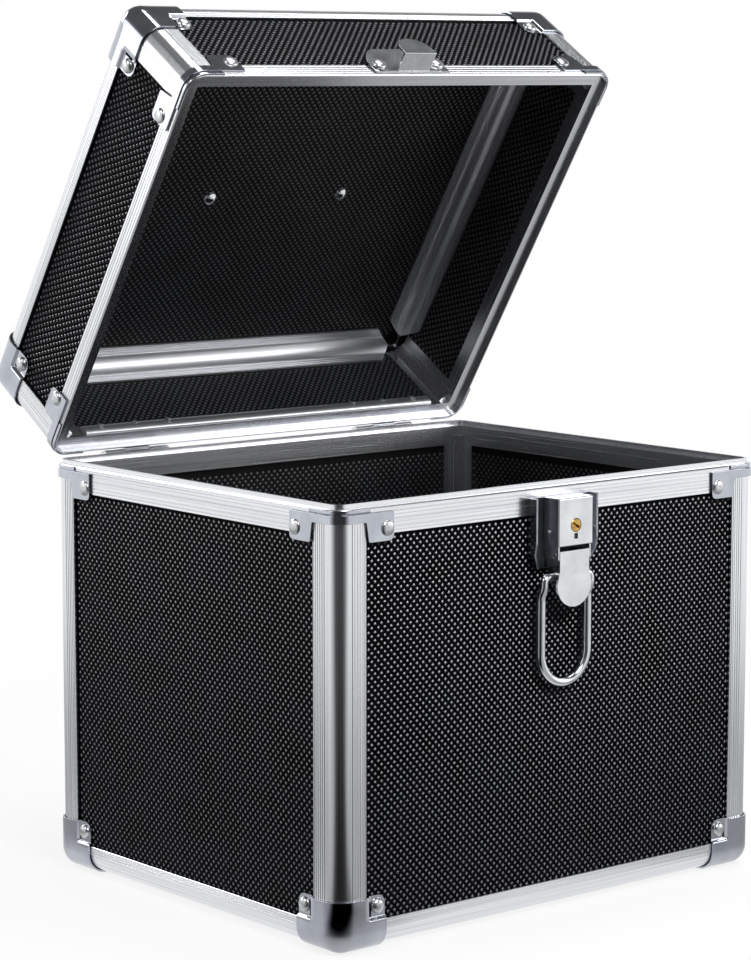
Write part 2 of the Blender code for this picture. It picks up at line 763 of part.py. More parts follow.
def latch_lever():
    """A thumb tab with a round end, on two flanges that hold the pin and the bail."""
    top, foot = -lever_top_drop, -lever_top_drop - lever_length
    half, flare = lever_width / 2, lever_flare / 2
    straight = top - lever_length * lever_straight_share
    widest = top - lever_length * lever_widest_share
    drop = widest - foot
    angles = [i * quarter_turn / arc_steps for i in range(2 * arc_steps + 1)]
    tip = [(flare * math.cos(angle), widest - drop * math.sin(angle)) for angle in angles]
    outline = [(-half, top), (half, top), (half, straight)] + tip + [(-half, straight)]
    plate_back = lever_front - lever_wall
    tab = outward_prism(outline, plate_back, lever_front)
    flange_back = lever_front - lever_wall - lever_flange_depth
    for sign in (-1, 1):
        ends = sorted((sign * half, sign * (half - lever_wall)))
        flange = block((ends[0], front_y - plate_back - sink, rim_z + top - lever_flange_height),
                       (ends[1], front_y - flange_back, rim_z + top))
        tab = fuse(tab, flange)
    pin_hole = rod((front_y - lever_pivot_out, lever_pivot_z), "x", lever_pin_radius + fit_gap,
                   -lever_width, lever_width)
    bail_hole = rod((front_y - bail_pivot_out, bail_pivot_z), "x", bail_wire_radius + fit_gap,
                    -lever_width, lever_width)
    return cut(tab, pin_hole, bail_hole)


def bail_path():
    """Points of the right half of the wire as x, depth towards the case and height: from its stub
    in the lever, down the cranked leg, to the foot of the loop."""
    points = [(bail_stub_end, 0, 0)]
    points += [(x, 0, z) for x, z in arc((bail_leg - bail_bend, -bail_bend), bail_bend, quarter_turn, 0,
                                         small_arc_steps)]
    for i in range(arc_steps + 1):
        share = i / arc_steps
        ease = share * share * (3 - 2 * share)
        drop = bail_crank_start + (bail_crank_end - bail_crank_start) * share
        points.append((bail_leg, bail_crank * ease, -drop))
    points += [(x, bail_crank, z) for x, z in arc((0, -bail_reach + bail_leg), bail_leg, 0, -quarter_turn,
                                                  arc_steps + 1)]
    return points


def wire(points, radius, sides):
    """A round wire along points that stay nearly in the x-z plane, with its ends square to the path."""
    loops = []
    for i, point in enumerate(points):
        before, after = points[max(i - 1, 0)], points[min(i + 1, len(points) - 1)]
        along = (Vector(after) - Vector(before)).normalized()
        side = Vector((along.z, 0, -along.x)).normalized()
        out = side.cross(along)
        loop = []
        for k in range(sides):
            angle = full_turn * k / sides
            loop.append(tuple(Vector(point) + radius * (math.cos(angle) * side + math.sin(angle) * out)))
        loops.append(loop)
    return loft(loops)


def latch_bail():
    half = bail_path()
    whole = [(-x, y, z) for x, y, z in half[:-1]] + list(reversed(half))
    places = [(x, front_y - bail_pivot_out + y, bail_pivot_z + z) for x, y, z in whole]
    return wire(places, bail_wire_radius, wire_sides)


add_piece("latch_base_plate", latch_base_plate(), zinc_steel, case)
add_piece("latch_lock_body", latch_lock_body(), zinc_steel, case)
add_piece("latch_lock_cylinder", latch_cylinder(), brass, lock)
add_piece("latch_lever", latch_lever(), zinc_steel, lever)
pin_reach = lever_width / 2 + fit_gap + cheek_thickness
lever_pin = rod((front_y - lever_pivot_out, lever_pivot_z), "x", lever_pin_radius, -pin_reach, pin_reach)
add_piece("latch_lever_pin", lever_pin, zinc_steel, case)
add_piece("latch_bail", latch_bail(), zinc_steel, bail)


# Strike: a riveted plate with a wall near the mouth and a rounded hook plate bent back from it


def strike_mesh():
    rise = mouth_z - rim_z
    half, low, high = strike_width / 2, rise + strike_start, rise + strike_start + strike_height
    shoulder = half - strike_round, high - strike_round
    outline = ([(-half, low), (half, low)]
               + arc(shoulder, strike_round, 0, quarter_turn, small_arc_steps)
               + arc((-shoulder[0], shoulder[1]), strike_round, quarter_turn, half_turn, small_arc_steps))
    floor = fit_gap + strike_thickness
    plate = outward_prism(outline, fit_gap, floor)
    hook_half, foot = hook_width / 2, rise + hook_start
    wall = block((-hook_half, front_y - hook_front + sink, rim_z + foot),
                 (hook_half, front_y - floor + sink, rim_z + foot + hook_wall))
    bend = foot + hook_length - hook_half
    hook_outline = [(-hook_half, foot), (hook_half, foot)]
    hook_outline += arc((0, bend), hook_half, 0, half_turn, 2 * arc_steps)
    hook = outward_prism(hook_outline, hook_front - hook_wall, hook_front)
    plate = fuse(plate, wall, hook)
    for sign in (-1, 1):
        place = (sign * strike_rivet_spacing / 2, front_y - floor, rim_z + (low + high) / 2)
        plate = fuse(plate, dome(place, (0, -1, 0), rivet_radius, rivet_height))
    return plate


add_piece("latch_strike", strike_mesh(), zinc_steel, lid)


# Handle and bolts


def handle_section(place, tangent, width, height):
    """A grip section with rounded corners, square to the path."""
    up = Vector((-tangent.z, 0, tangent.x))
    across = Vector((0, 1, 0))
    corner = min(width, height) * handle_corner_share
    outline = rounded_rectangle(width / 2, height / 2, corner, edge_steps)
    return [tuple(place + across * a + up * b) for a, b in outline]


def handle_mesh():
    seat = lid_top_z - panel_face + fit_gap
    half = bolt_spacing / 2
    shares = list(handle_path_shares)
    shares += [(-share, rise) for share, rise in reversed(shares)]
    places = [Vector((share * half, 0, seat + rise * handle_rise)) for share, rise in shares]
    loops = []
    for i, place in enumerate(places):
        tangent = (places[min(i + 1, len(places) - 1)] - places[max(i - 1, 0)]).normalized()
        level = abs(tangent.x)
        height = handle_leg_thickness + (handle_grip_height - handle_leg_thickness) * level
        loops.append(handle_section(place, tangent, handle_grip_width, height))
    grip = loft(loops)
    foot = rounded_rectangle(handle_foot_length / 2, handle_foot_width / 2, handle_foot_round,
                             small_arc_steps)
    for x in bolt_places.values():
        raised = [(x + a, b) for a, b in foot]
        grip = fuse(grip, prism(raised, "z", seat, seat + handle_foot_height))
    for x in bolt_places.values():
        grip = cut(grip, rod((x, 0), "z", bolt_radius + fit_gap, seat - overrun, seat + bolt_bite))
    return grip


def bolt_mesh(x):
    """A domed head on the lining inside the lid and a shank that reaches into the handle."""
    under = top_panel_low - fit_gap
    tip = lid_top_z - panel_face + bolt_bite
    shank = rod((x, 0), "z", bolt_radius, under - sink, tip)
    return fuse(dome((x, 0, under), (0, 0, -1), bolt_head_radius, bolt_head_height, round_sides), shank)


add_piece("handle", handle_mesh(), black_plastic, lid)
for side, x in bolt_places.items():
    add_piece("handle_bolt_" + side, bolt_mesh(x), zinc_steel, lid)


# Keys


def key_mesh():
    """A rounded square bow with a hole, tapering to a stem with a stepped bit."""
    half, stem = key_bow / 2, key_stem / 2
    shoulder, tip = -half - key_shoulder, key_bow / 2 - key_length
    inner = half - key_bow_round
    bow = arc((inner, inner), key_bow_round, 0, quarter_turn, small_arc_steps)
    bow += arc((-inner, inner), key_bow_round, quarter_turn, half_turn, small_arc_steps)
    bow += [(-half, -inner), (-stem, shoulder), (-stem, tip), (stem, tip)]
    bow += [(stem + key_bit, tip), (stem + key_bit, tip + key_bit), (stem, tip + key_bit)]
    bow += [(stem, shoulder), (half, -inner)]
    plate = prism(bow, "z", 0, key_thickness)
    hole = rod((0, inner), "z", key_hole_radius, -overrun, overrun, rivet_sides)
    return cut(plate, hole)


floor_z = base_z + panel_back
for order, (across, back), turn in zip(("first", "second"), key_place_shares, key_turns):
    place = (across * half_width, back * half_depth, floor_z + fit_gap)
    key_holder = add_holder("key_" + order + "_place", place, case)
    key = key_mesh()
    key.transform(Matrix.Translation(homes[key_holder.name]) @ Matrix.Rotation(turn, 4, "Z"))
    add_piece("key_" + order, key, nickel_key, key_holder)


# The lid stands open, and the whole case is moved so that the middle of its depth is at the origin
lid.rotation_euler = (-lid_open_angle, 0, 0)
bpy.context.view_layer.update()
ends_y = [(thing.matrix_world @ v.co).y for thing in scene.objects if thing.type == "MESH"
          for v in thing.data.vertices]
case.location.y = -(min(ends_y) + max(ends_y)) / 2
bpy.context.view_layer.update()
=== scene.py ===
import math

import bmesh
import bpy
import numpy as np
from mathutils import Matrix, Vector


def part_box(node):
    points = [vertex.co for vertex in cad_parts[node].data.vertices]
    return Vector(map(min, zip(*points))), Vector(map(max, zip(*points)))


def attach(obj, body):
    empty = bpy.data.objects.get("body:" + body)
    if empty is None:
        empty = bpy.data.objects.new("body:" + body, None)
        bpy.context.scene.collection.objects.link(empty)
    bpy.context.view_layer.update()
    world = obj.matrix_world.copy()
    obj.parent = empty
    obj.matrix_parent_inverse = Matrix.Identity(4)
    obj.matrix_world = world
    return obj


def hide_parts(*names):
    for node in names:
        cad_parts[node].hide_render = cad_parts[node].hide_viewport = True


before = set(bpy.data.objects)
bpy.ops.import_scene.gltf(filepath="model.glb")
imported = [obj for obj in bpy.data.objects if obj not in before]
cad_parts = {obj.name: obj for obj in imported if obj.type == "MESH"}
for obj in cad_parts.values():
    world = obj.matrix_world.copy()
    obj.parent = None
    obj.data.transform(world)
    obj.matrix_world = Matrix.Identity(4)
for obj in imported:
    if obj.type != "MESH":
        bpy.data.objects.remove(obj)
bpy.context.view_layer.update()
mm = 0.001
print("frame loaded")

# Sizes of the closed case, which the profiles, panels and corners share
case = {
    "halfWidth": 172.5 * mm, "halfDepth": 142.5 * mm,
    "baseZ": 1.5 * mm, "rimZ": 261.5 * mm, "mouthZ": 261.8 * mm, "lidTopZ": 344.8 * mm,
    "hingeOut": 5 * mm, "openDegrees": 57.5,
    "skin": 1.6 * mm, "slotDepth": 8.2 * mm, "profileDepth": 10.4 * mm, "web": 9.5 * mm,
    "edgeRadius": 11.5 * mm, "innerRound": 0.5 * mm, "gap": 0.3 * mm,
}
hingeY = case["halfDepth"] + case["hingeOut"]
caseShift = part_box("box_post_front_left")[0].y + case["halfDepth"]
cornerSigns = {"front_left": (-1, -1), "front_right": (1, -1), "rear_left": (-1, 1), "rear_right": (1, 1)}


# Places in the closed case become places in the frame: a lid point turns about the hinge line, then all
# shift in depth
def inPlace(points, onLid):
    points = np.array(points, float)
    if onLid:
        angle = math.radians(case["openDegrees"])
        cosine, sine = math.cos(angle), math.sin(angle)
        out, up = points[..., 1] - hingeY, points[..., 2] - case["rimZ"]
        points[..., 1] = hingeY + cosine * out + sine * up
        points[..., 2] = case["rimZ"] - sine * out + cosine * up
    points[..., 1] += caseShift
    return points


# Materials

# sRGB hex to linear: each channel over 12.92 when dark, else ((c + 0.055) / 1.055) to the power 2.4
def linearColour(hexText):
    channels = [int(hexText[i:i + 2], 16) / 255 for i in (1, 3, 5)]
    return tuple(c / 12.92 if c <= 0.04045 else ((c + 0.055) / 1.055) ** 2.4 for c in channels) + (1.0,)


# One node with its settings; an input is a number, a colour or the output that feeds it
def addNode(tree, kind, inputs=None, **settings):
    node = tree.nodes.new(kind)
    for name, value in settings.items():
        setattr(node, name, value)
    for key, value in (inputs or {}).items():
        if isinstance(value, bpy.types.NodeSocket):
            tree.links.new(value, node.inputs[key])
        else:
            node.inputs[key].default_value = value
    return node


def newMaterial(name):
    material = bpy.data.materials.new(name)
    material.use_nodes = True
    return material, material.node_tree, material.node_tree.nodes["Principled BSDF"]


# A colour ramp between two colours, driven by a factor
def rampBetween(tree, factor, low, high, start=0.0, end=1.0):
    ramp = addNode(tree, "ShaderNodeValToRGB", {"Fac": factor})
    for element, place, colour in zip(ramp.color_ramp.elements, (start, end), (low, high)):
        element.position, element.color = place, colour
    return ramp


# Extruded and anodised aluminium: long fine die lines along the profile, satin silver with a slight streak
def anodisedAluminium(name, look):
    material, tree, shader = newMaterial(name)
    place = addNode(tree, "ShaderNodeUVMap", uv_map="profile")
    streaks = addNode(tree, "ShaderNodeMapping", {"Vector": place.outputs["UV"],
                                                  "Scale": (look["alongScale"], look["acrossScale"], 1)})
    lines = addNode(tree, "ShaderNodeTexNoise", {"Vector": streaks.outputs["Vector"], "Scale": 1.0,
                                                 "Detail": 3.0, "Roughness": 0.6}, noise_dimensions="2D")
    tint = rampBetween(tree, lines.outputs["Fac"], linearColour(look["dark"]), linearColour(look["light"]),
                       0.3, 0.7)
    gloss = addNode(tree, "ShaderNodeMapRange", {"Value": lines.outputs["Fac"], "To Min": look["roughLow"],
                                                 "To Max": look["roughHigh"]})
    bump = addNode(tree, "ShaderNodeBump", {"Height": lines.outputs["Fac"], "Strength": look["bump"],
                                            "Distance": 0.05 * mm})
    shader.inputs["Metallic"].default_value = 1.0
    for socket, source in (("Base Color", tint.outputs["Color"]), ("Roughness", gloss.outputs["Result"]),
                           ("Normal", bump.outputs["Normal"])):
        tree.links.new(source, shader.inputs[socket])
    return material


# Cast or pressed metal under a plated coat: soft cloudy roughness, faint orange peel and hairline wear
def platedMetal(name, look):
    material, tree, shader = newMaterial(name)
    place = addNode(tree, "ShaderNodeTexCoord")
    clouds = addNode(tree, "ShaderNodeTexNoise", {
        "Vector": place.outputs["Object"], "Scale": look["cloudScale"], "Detail": 4.0})
    hair = addNode(tree, "ShaderNodeTexNoise", {
        "Vector": place.outputs["Object"], "Scale": look["grainScale"], "Detail": 2.0})
    tint = rampBetween(tree, clouds.outputs["Fac"], linearColour(look["dark"]), linearColour(look["light"]),
                       0.3, 0.7)
    gloss = addNode(tree, "ShaderNodeMapRange", {"Value": clouds.outputs["Fac"], "To Min": look["roughLow"],
                                                 "To Max": look["roughHigh"]})
    bump = addNode(tree, "ShaderNodeBump", {"Height": hair.outputs["Fac"], "Strength": look["bump"],
                                            "Distance": 0.05 * mm})
    shader.inputs["Metallic"].default_value = 1.0
    for socket, source in (("Base Color", tint.outputs["Color"]), ("Roughness", gloss.outputs["Result"]),
                           ("Normal", bump.outputs["Normal"])):
        tree.links.new(source, shader.inputs[socket])
    return material


# Embossed or moulded plastic: near black, with fine grain and a little dust-grey variation
def blackPlastic(name, look):
    material, tree, shader = newMaterial(name)
    place = addNode(tree, "ShaderNodeTexCoord")
    clouds = addNode(tree, "ShaderNodeTexNoise", {
        "Vector": place.outputs["Object"], "Scale": look["cloudScale"], "Detail": 3.0})
    grain = addNode(tree, "ShaderNodeTexNoise", {
        "Vector": place.outputs["Object"], "Scale": look["grainScale"], "Detail": 2.0})
    tint = rampBetween(tree, clouds.outputs["Fac"], linearColour(look["dark"]), linearColour(look["light"]),
                       0.3, 0.7)
    gloss = addNode(tree, "ShaderNodeMapRange", {"Value": grain.outputs["Fac"], "To Min": look["roughLow"],
                                                 "To Max": look["roughHigh"]})
    bump = addNode(tree, "ShaderNodeBump", {"Height": grain.outputs["Fac"], "Strength": look["bump"],
                                            "Distance": 0.1 * mm})
    shader.inputs["Specular IOR Level"].default_value = look["specular"]
    for socket, source in (("Base Color", tint.outputs["Color"]), ("Roughness", gloss.outputs["Result"]),
                           ("Normal", bump.outputs["Normal"])):
        tree.links.new(source, shader.inputs[socket])
    return material


profileAluminium = anodisedAluminium("anodised extruded aluminium", {
    "dark": "#d3d5da", "light": "#f1f2f5", "alongScale": 4, "acrossScale": 1600,
    "roughLow": 0.2, "roughHigh": 0.3, "bump": 0.2})
stripAluminium = anodisedAluminium("anodised aluminium inner angle", {
    "dark": "#c4c6cb", "light": "#e6e7ea", "alongScale": 4, "acrossScale": 1600,
    "roughLow": 0.3, "roughHigh": 0.42, "bump": 0.3})
chromedSteel = platedMetal("chromed pressed steel", {
    "dark": "#aeb2bb", "light": "#c2c6ce", "cloudScale": 60, "grainScale": 900,
    "roughLow": 0.05, "roughHigh": 0.1, "bump": 0.03})
rivetSteel = platedMetal("tumbled nickel rivet", {
    "dark": "#b9babd", "light": "#d3d4d6", "cloudScale": 200, "grainScale": 1500,
    "roughLow": 0.24, "roughHigh": 0.34, "bump": 0.1})
# Painted shade: a darker copy of the nickel plated steel, for the base plate that lies in shade inside the latch
paintedShadeSteel = platedMetal("nickel plated steel, darkened as painted shade in the latch", {
    "dark": "#8b8e95", "light": "#a9acb3", "cloudScale": 150, "grainScale": 1200,
    "roughLow": 0.16, "roughHigh": 0.28, "bump": 0.1})
polishedSteel = platedMetal("nickel plated steel", {
    "dark": "#cfd1d5", "light": "#e4e6e9", "cloudScale": 80, "grainScale": 1200,
    "roughLow": 0.12, "roughHigh": 0.22, "bump": 0.08})
brass = platedMetal("turned brass", {
    "dark": "#a98242", "light": "#d8b46a", "cloudScale": 300, "grainScale": 2500,
    "roughLow": 0.18, "roughHigh": 0.3, "bump": 0.15})
keyNickel = platedMetal("stamped nickel silver", {
    "dark": "#cfd0d1", "light": "#ecedee", "cloudScale": 120, "grainScale": 1500,
    "roughLow": 0.25, "roughHigh": 0.4, "bump": 0.1})
panelBlack = blackPlastic("black laminate", {
    "dark": "#010102", "light": "#050609", "cloudScale": 30, "grainScale": 1500,
    "roughLow": 0.45, "roughHigh": 0.6, "bump": 0.3, "specular": 0.02})
# Painted highlight: the raised points of the black laminate get a grey base colour that stands in for the glints
# they catch; their gloss is real
paintedHighlightPoint = blackPlastic("embossed black laminate point", {
    "dark": "#22242a", "light": "#383a42", "cloudScale": 40, "grainScale": 2000,
    "roughLow": 0.2, "roughHigh": 0.3, "bump": 0.1, "specular": 1.0})
# Painted highlight: the lining's raised points get a lighter grey than the lining ground, standing in for the
# glints they catch
liningPointHighlight = blackPlastic("black lining", {
    "dark": "#26282c", "light": "#3a3c41", "cloudScale": 30, "grainScale": 1500,
    "roughLow": 0.35, "roughHigh": 0.5, "bump": 0.3, "specular": 0.9})
liningGround = blackPlastic("black lining ground", {
    "dark": "#060607", "light": "#0d0e10", "cloudScale": 30, "grainScale": 1500,
    "roughLow": 0.5, "roughHigh": 0.65, "bump": 0.3, "specular": 0.12})
handlePlastic = blackPlastic("black moulded plastic", {
    "dark": "#0e0e10", "light": "#17171a", "cloudScale": 50, "grainScale": 1800,
    "roughLow": 0.4, "roughHigh": 0.55, "bump": 0.4, "specular": 0.5})
print("materials made")


# Meshes

# A grid of points as quads; it may wrap round in either direction, and open ends can be closed by flat
# faces. The UV map "profile" runs in metres: u is the way along the rows, v the way along the columns.
def gridMesh(name, grid, wrapRows=False, wrapColumns=True, closeEnds=False, slotRows=(0, 0),
             slotColumns=(0, 0)):
    rows, columns = grid.shape[:2]
    i, j = np.meshgrid(np.arange(rows if wrapRows else rows - 1),
                       np.arange(columns if wrapColumns else columns - 1), indexing="ij")
    kept = ~((i >= slotRows[0]) & (i < slotRows[1]) & (j >= slotColumns[0]) & (j < slotColumns[1]))
    i, j = i[kept], j[kept]
    nextI, nextJ = (i + 1) % rows, (j + 1) % columns
    quads = np.stack([i * columns + j, nextI * columns + j, nextI * columns + nextJ, i * columns + nextJ],
                     -1).reshape(-1, 4)
    faces = quads.tolist()
    if closeEnds:
        faces += [list(range(columns)), list(range((rows - 1) * columns, rows * columns))]
    mesh = bpy.data.meshes.new(name)
    mesh.from_pydata(grid.reshape(-1, 3).tolist(), [], faces)
    stepsU = np.linalg.norm(np.roll(grid, -1, 0) - grid, axis=-1).mean(1)
    stepsV = np.linalg.norm(np.roll(grid, -1, 1) - grid, axis=-1).mean(0)
    alongU, alongV = np.append(0, np.cumsum(stepsU)), np.append(0, np.cumsum(stepsV))
    corners = np.zeros((len(mesh.loops), 2))
    cornerU = np.stack([i, i + 1, i + 1, i], -1).reshape(-1)
    cornerV = np.stack([j, j, j + 1, j + 1], -1).reshape(-1)
    corners[:len(cornerU)] = np.stack([alongU[cornerU], alongV[cornerV]], -1)
    layer = mesh.uv_layers.new(name="profile")
    layer.data.foreach_set("uv", corners.astype(np.float32).ravel())
    mesh.update()
    return mesh


# Several meshes in one, each with the slot of its material; a flag merges doubled points and turns faces
# outwards
def joinedMesh(name, parts, outwards=True):
    work = bmesh.new()
    for mesh, slotNumber in parts:
        mesh.polygons.foreach_set("material_index", np.full(len(mesh.polygons), slotNumber, np.int32))
        work.from_mesh(mesh)
    if outwards:
        bmesh.ops.remove_doubles(work, verts=work.verts, dist=0.002 * mm)
        bmesh.ops.recalc_face_normals(work, faces=work.faces)
    mesh = bpy.data.meshes.new(name)
    work.to_mesh(mesh)
    work.free()
    return mesh


# A shown piece: its mesh is shaded smooth except over sharp bends, and it rides on a body for its CAD nodes
def showPiece(name, mesh, materials, body, nodes=(), sharpDegrees=35):
    for material in materials:
        mesh.materials.append(material)
    mesh.shade_smooth()
    mesh.set_sharp_from_angle(angle=math.radians(sharpDegrees))
    piece = bpy.data.objects.new(name, mesh)
    bpy.context.scene.collection.objects.link(piece)
    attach(piece, body)
    if nodes:
        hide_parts(*nodes)
    return piece


def addBevel(piece, width, segments=2, degrees=40):
    bevel = piece.modifiers.new("edges", "BEVEL")
    bevel.width, bevel.segments, bevel.angle_limit = width, segments, math.radians(degrees)
    bevel.limit_method = "ANGLE"
    bevel.harden_normals = True


# Points of a circle's part: centre plus radius times cosine and sine of evenly spaced angles
def arcPoints(centre, radius, start, end, steps):
    angles = np.radians(np.linspace(start, end, steps + 1))
    return np.array(centre) + radius * np.stack([np.cos(angles), np.sin(angles)], -1)


# A straight face from start to end with shallow grooves: four points for each groove, depth 0, d, d, 0
def groovedFace(start, end, centres, width, depth):
    offsets = np.array([-0.5, -0.25, 0.25, 0.5]) * width
    if end < start:
        centres, offsets = sorted(centres, reverse=True), -offsets
    along = (np.array(centres)[:, None] + offsets).ravel() if len(centres) else np.empty(0)
    sunk = np.tile([0, depth, depth, 0], len(centres))
    return np.concatenate([[[start, 0]], np.stack([along, sunk], -1), [[end, 0]]])


# Profiles: fine die lines on the wings, a small step where the rounded edge starts
profile = {
    "postWing": 22 * mm, "postLip": 24 * mm, "postCove": 17 * mm, "railWing": 17 * mm, "railLip": 14 * mm,
    "postGrooves": [13.3 * mm, 15.3 * mm, 17.2 * mm, 19.1 * mm, 20.7 * mm],
    "railGrooves": [12.9 * mm, 14.3 * mm, 15.7 * mm],
    "grooveWidth": 0.6 * mm, "grooveDepth": 0.22 * mm, "edgeStep": 0.25 * mm, "lipRound": 0.3 * mm,
    "arcSteps": 14, "cornerSteps": 10, "postEnd": 6.7 * mm, "notch": 24.3 * mm,
}


# The outer skin of a post or rail: a grooved wing, the rounded edge lying a small step lower, the other wing
def outerSkin(wing, grooves):
    step, radius, lip = profile["edgeStep"], case["edgeRadius"], profile["lipRound"]
    face = groovedFace(wing - lip, radius + step, grooves, profile["grooveWidth"], profile["grooveDepth"])
    edge = arcPoints((radius, radius), radius - step, 270, 180, profile["arcSteps"])
    return np.concatenate([[[wing, lip]], face, edge, face[::-1, ::-1], [[lip, wing]]])


def postSection():
    wing, lip, cove = profile["postWing"], profile["postLip"], profile["postCove"]
    skin, web, slot, deep = case["skin"], case["web"], case["slotDepth"], case["profileDepth"]
    inner = [(skin, wing), (skin, web), (slot, web), (slot, lip), (deep, lip), (deep, cove), (cove, deep),
             (lip, deep), (lip, slot), (web, slot), (web, skin), (wing, skin)]
    return np.concatenate([outerSkin(wing, profile["postGrooves"]), inner])


# A rail's section as insets and heights, and which points lie on its outer skin
def railSection(withLips):
    wing, lip = profile["railWing"], profile["railLip"]
    skin, web, slot, deep = case["skin"], case["web"], case["slotDepth"], case["profileDepth"]
    outer = outerSkin(wing, profile["railGrooves"])
    inner = [(skin, wing), (skin, web), (slot, web)]
    lips = [(slot, lip), (deep, lip), (deep, deep), (lip, deep), (lip, slot)]
    inner += lips if withLips else [(slot, slot)]
    inner += [(web, slot), (web, skin), (wing, skin)]
    return np.concatenate([outer, inner]), np.arange(len(outer) + len(inner)) < len(outer)


# A section carried round the case: at each of four corners it turns about a centre that lies its radius
# inside
def ringGrid(section, outer):
    inset, height = section[:, 0], section[:, 1]
    radius = np.maximum(np.where(outer, case["edgeRadius"], case["web"]) - inset, case["innerRound"])
    steps = profile["cornerSteps"]
    quarters = [np.linspace(90 * k, 90 * k + 90, steps + 1) for k in range(4)]
    turns = np.radians(np.concatenate(quarters))[:, None]
    signs = np.repeat([(1, 1), (-1, 1), (-1, -1), (1, -1)], steps + 1, axis=0)
    x = signs[:, :1] * (case["halfWidth"] - inset - radius) + radius * np.cos(turns)
    y = signs[:, 1:] * (case["halfDepth"] - inset - radius) + radius * np.sin(turns)
    return np.stack([x, y, np.broadcast_to(height, x.shape)], -1)


# A straight length of a section on one side: insets count inwards from that side's face
def straightGrid(section, side, low, high):
    inset, height = section[:, 0], section[:, 1]
    ends = np.array([low, high])[:, None] + 0 * inset
    if side in ("front", "rear"):
        face = (-1 if side == "front" else 1) * (case["halfDepth"] - inset) + 0 * ends
        return np.stack([ends, face, height + 0 * ends], -1)
    face = (-1 if side == "left" else 1) * (case["halfWidth"] - inset) + 0 * ends
    return np.stack([face, ends, height + 0 * ends], -1)


def atHeight(section, height, sign=1):
    return np.stack([section[:, 0], height + sign * section[:, 1]], -1)


def ringPiece(name, section, outer, height, sign, body):
    onLid = body == "lid"
    grid = inPlace(ringGrid(atHeight(section, height, sign), outer), onLid)
    mesh = joinedMesh(name, [(gridMesh(name, grid, wrapRows=True), 0)])
    return showPiece("aluminium_" + name, mesh, [profileAluminium], body, [name], 25)


baseSection, baseOuter = railSection(True)
ringPiece("box_base_frame", baseSection, baseOuter, case["baseZ"], 1, "box")
topSection, topOuter = railSection(False)
ringPiece("lid_top_frame", topSection, topOuter, case["lidTopZ"], -1, "lid")

for where, (sx, sy) in cornerSigns.items():
    flat = postSection()
    spans = {"box": (case["baseZ"] + profile["railWing"] + case["gap"],
                     case["rimZ"] - profile["postEnd"] - case["gap"]),
             "lid": (case["mouthZ"] + profile["postEnd"] + case["gap"],
                     case["lidTopZ"] - profile["railWing"] - case["gap"])}
    for body, ends in spans.items():
        node = body + "_post_" + where
        x, y = sx * (case["halfWidth"] - flat[:, 0]), sy * (case["halfDepth"] - flat[:, 1])
        grid = np.stack([np.stack([x, y, end + 0 * x], -1) for end in ends])
        mesh = joinedMesh(node, [(gridMesh(node, inPlace(grid, body == "lid"), closeEnds=True), 0)])
        showPiece("aluminium_" + node, mesh, [profileAluminium], body, [node], 25)

# Rim profiles: a flat face with die lines, and on the box a tongue that the lid's rim closes over.
# Below the level where the posts end they are four straight lengths, so that the posts have room.
rim = {
    "boxFace": 16 * mm, "boxLip": 13 * mm, "lidFace": 11 * mm, "lidLip": 13.5 * mm, "chamfer": 0.8 * mm,
    "tongueInset": 2.2 * mm, "tongueThickness": 1.8 * mm, "tongueHeight": 3 * mm,
    "boxGrooves": [3 * mm, 5.2 * mm], "boxLowGrooves": [7.6 * mm, 9.8 * mm, 12 * mm, 14.2 * mm],
    "lidGrooves": [2.6 * mm, 4.7 * mm], "lidLowGrooves": [7.2 * mm, 9.2 * mm],
    "rebate": 3.5 * mm, "grooveWidth": 0.55 * mm, "grooveDepth": 0.2 * mm,
}


# The face of a rim from one height to another, with the grooves sunk into it, as insets and heights
def rimFace(start, end, grooves):
    face = groovedFace(start, end, grooves, rim["grooveWidth"], rim["grooveDepth"])
    return face[:, ::-1]


def rimPiece(node, upper, faceLow, faceHigh, lowGrooves, lipHigh, height, sign, body):
    skin, slot, deep, onLid = case["skin"], case["slotDepth"], case["profileDepth"], body == "lid"
    outer = upper[:, 0] < skin
    ring = inPlace(ringGrid(atHeight(upper, height, sign), outer), onLid)
    parts = [(gridMesh(node, ring, wrapRows=True), 0)]
    wing = np.concatenate([rimFace(faceLow, faceHigh, lowGrooves), [(skin, faceHigh), (skin, faceLow)]])
    lip = np.array([(slot, faceLow), (slot, lipHigh), (deep, lipHigh), (deep, faceLow)])
    for side in ("front", "rear", "left", "right"):
        reach = (case["halfWidth"] if side in ("front", "rear") else case["halfDepth"]) - profile["notch"]
        for section in (wing, lip):
            grid = straightGrid(atHeight(section, height, sign), side, -reach, reach)
            parts.append((gridMesh(node, inPlace(grid, onLid), closeEnds=True), 0))
    mesh = joinedMesh(node, parts)
    return showPiece("aluminium_" + node, mesh, [profileAluminium], body, [node], 25)


tongueBack = rim["tongueInset"] + rim["tongueThickness"]
boxUpper = np.concatenate([rimFace(profile["postEnd"], rim["chamfer"], rim["boxGrooves"]), [
    (rim["chamfer"], 0), (rim["tongueInset"], 0), (rim["tongueInset"], -rim["tongueHeight"]),
    (tongueBack, -rim["tongueHeight"]), (tongueBack, 0), (case["profileDepth"], 0),
    (case["profileDepth"], profile["postEnd"])]])
rimPiece("box_rim_frame", boxUpper, profile["postEnd"], rim["boxFace"], rim["boxLowGrooves"], rim["boxLip"],
         case["rimZ"], -1, "box")
lidUpper = np.concatenate([rimFace(profile["postEnd"], rim["chamfer"], rim["lidGrooves"]), [
    (rim["chamfer"], 0), (case["skin"], 0), (case["skin"], rim["rebate"]),
    (case["profileDepth"], rim["rebate"]), (case["profileDepth"], profile["postEnd"])]])
rimPiece("lid_rim_frame", lidUpper, profile["postEnd"], rim["lidFace"], rim["lidLowGrooves"], rim["lidLip"],
         case["mouthZ"], 1, "lid")

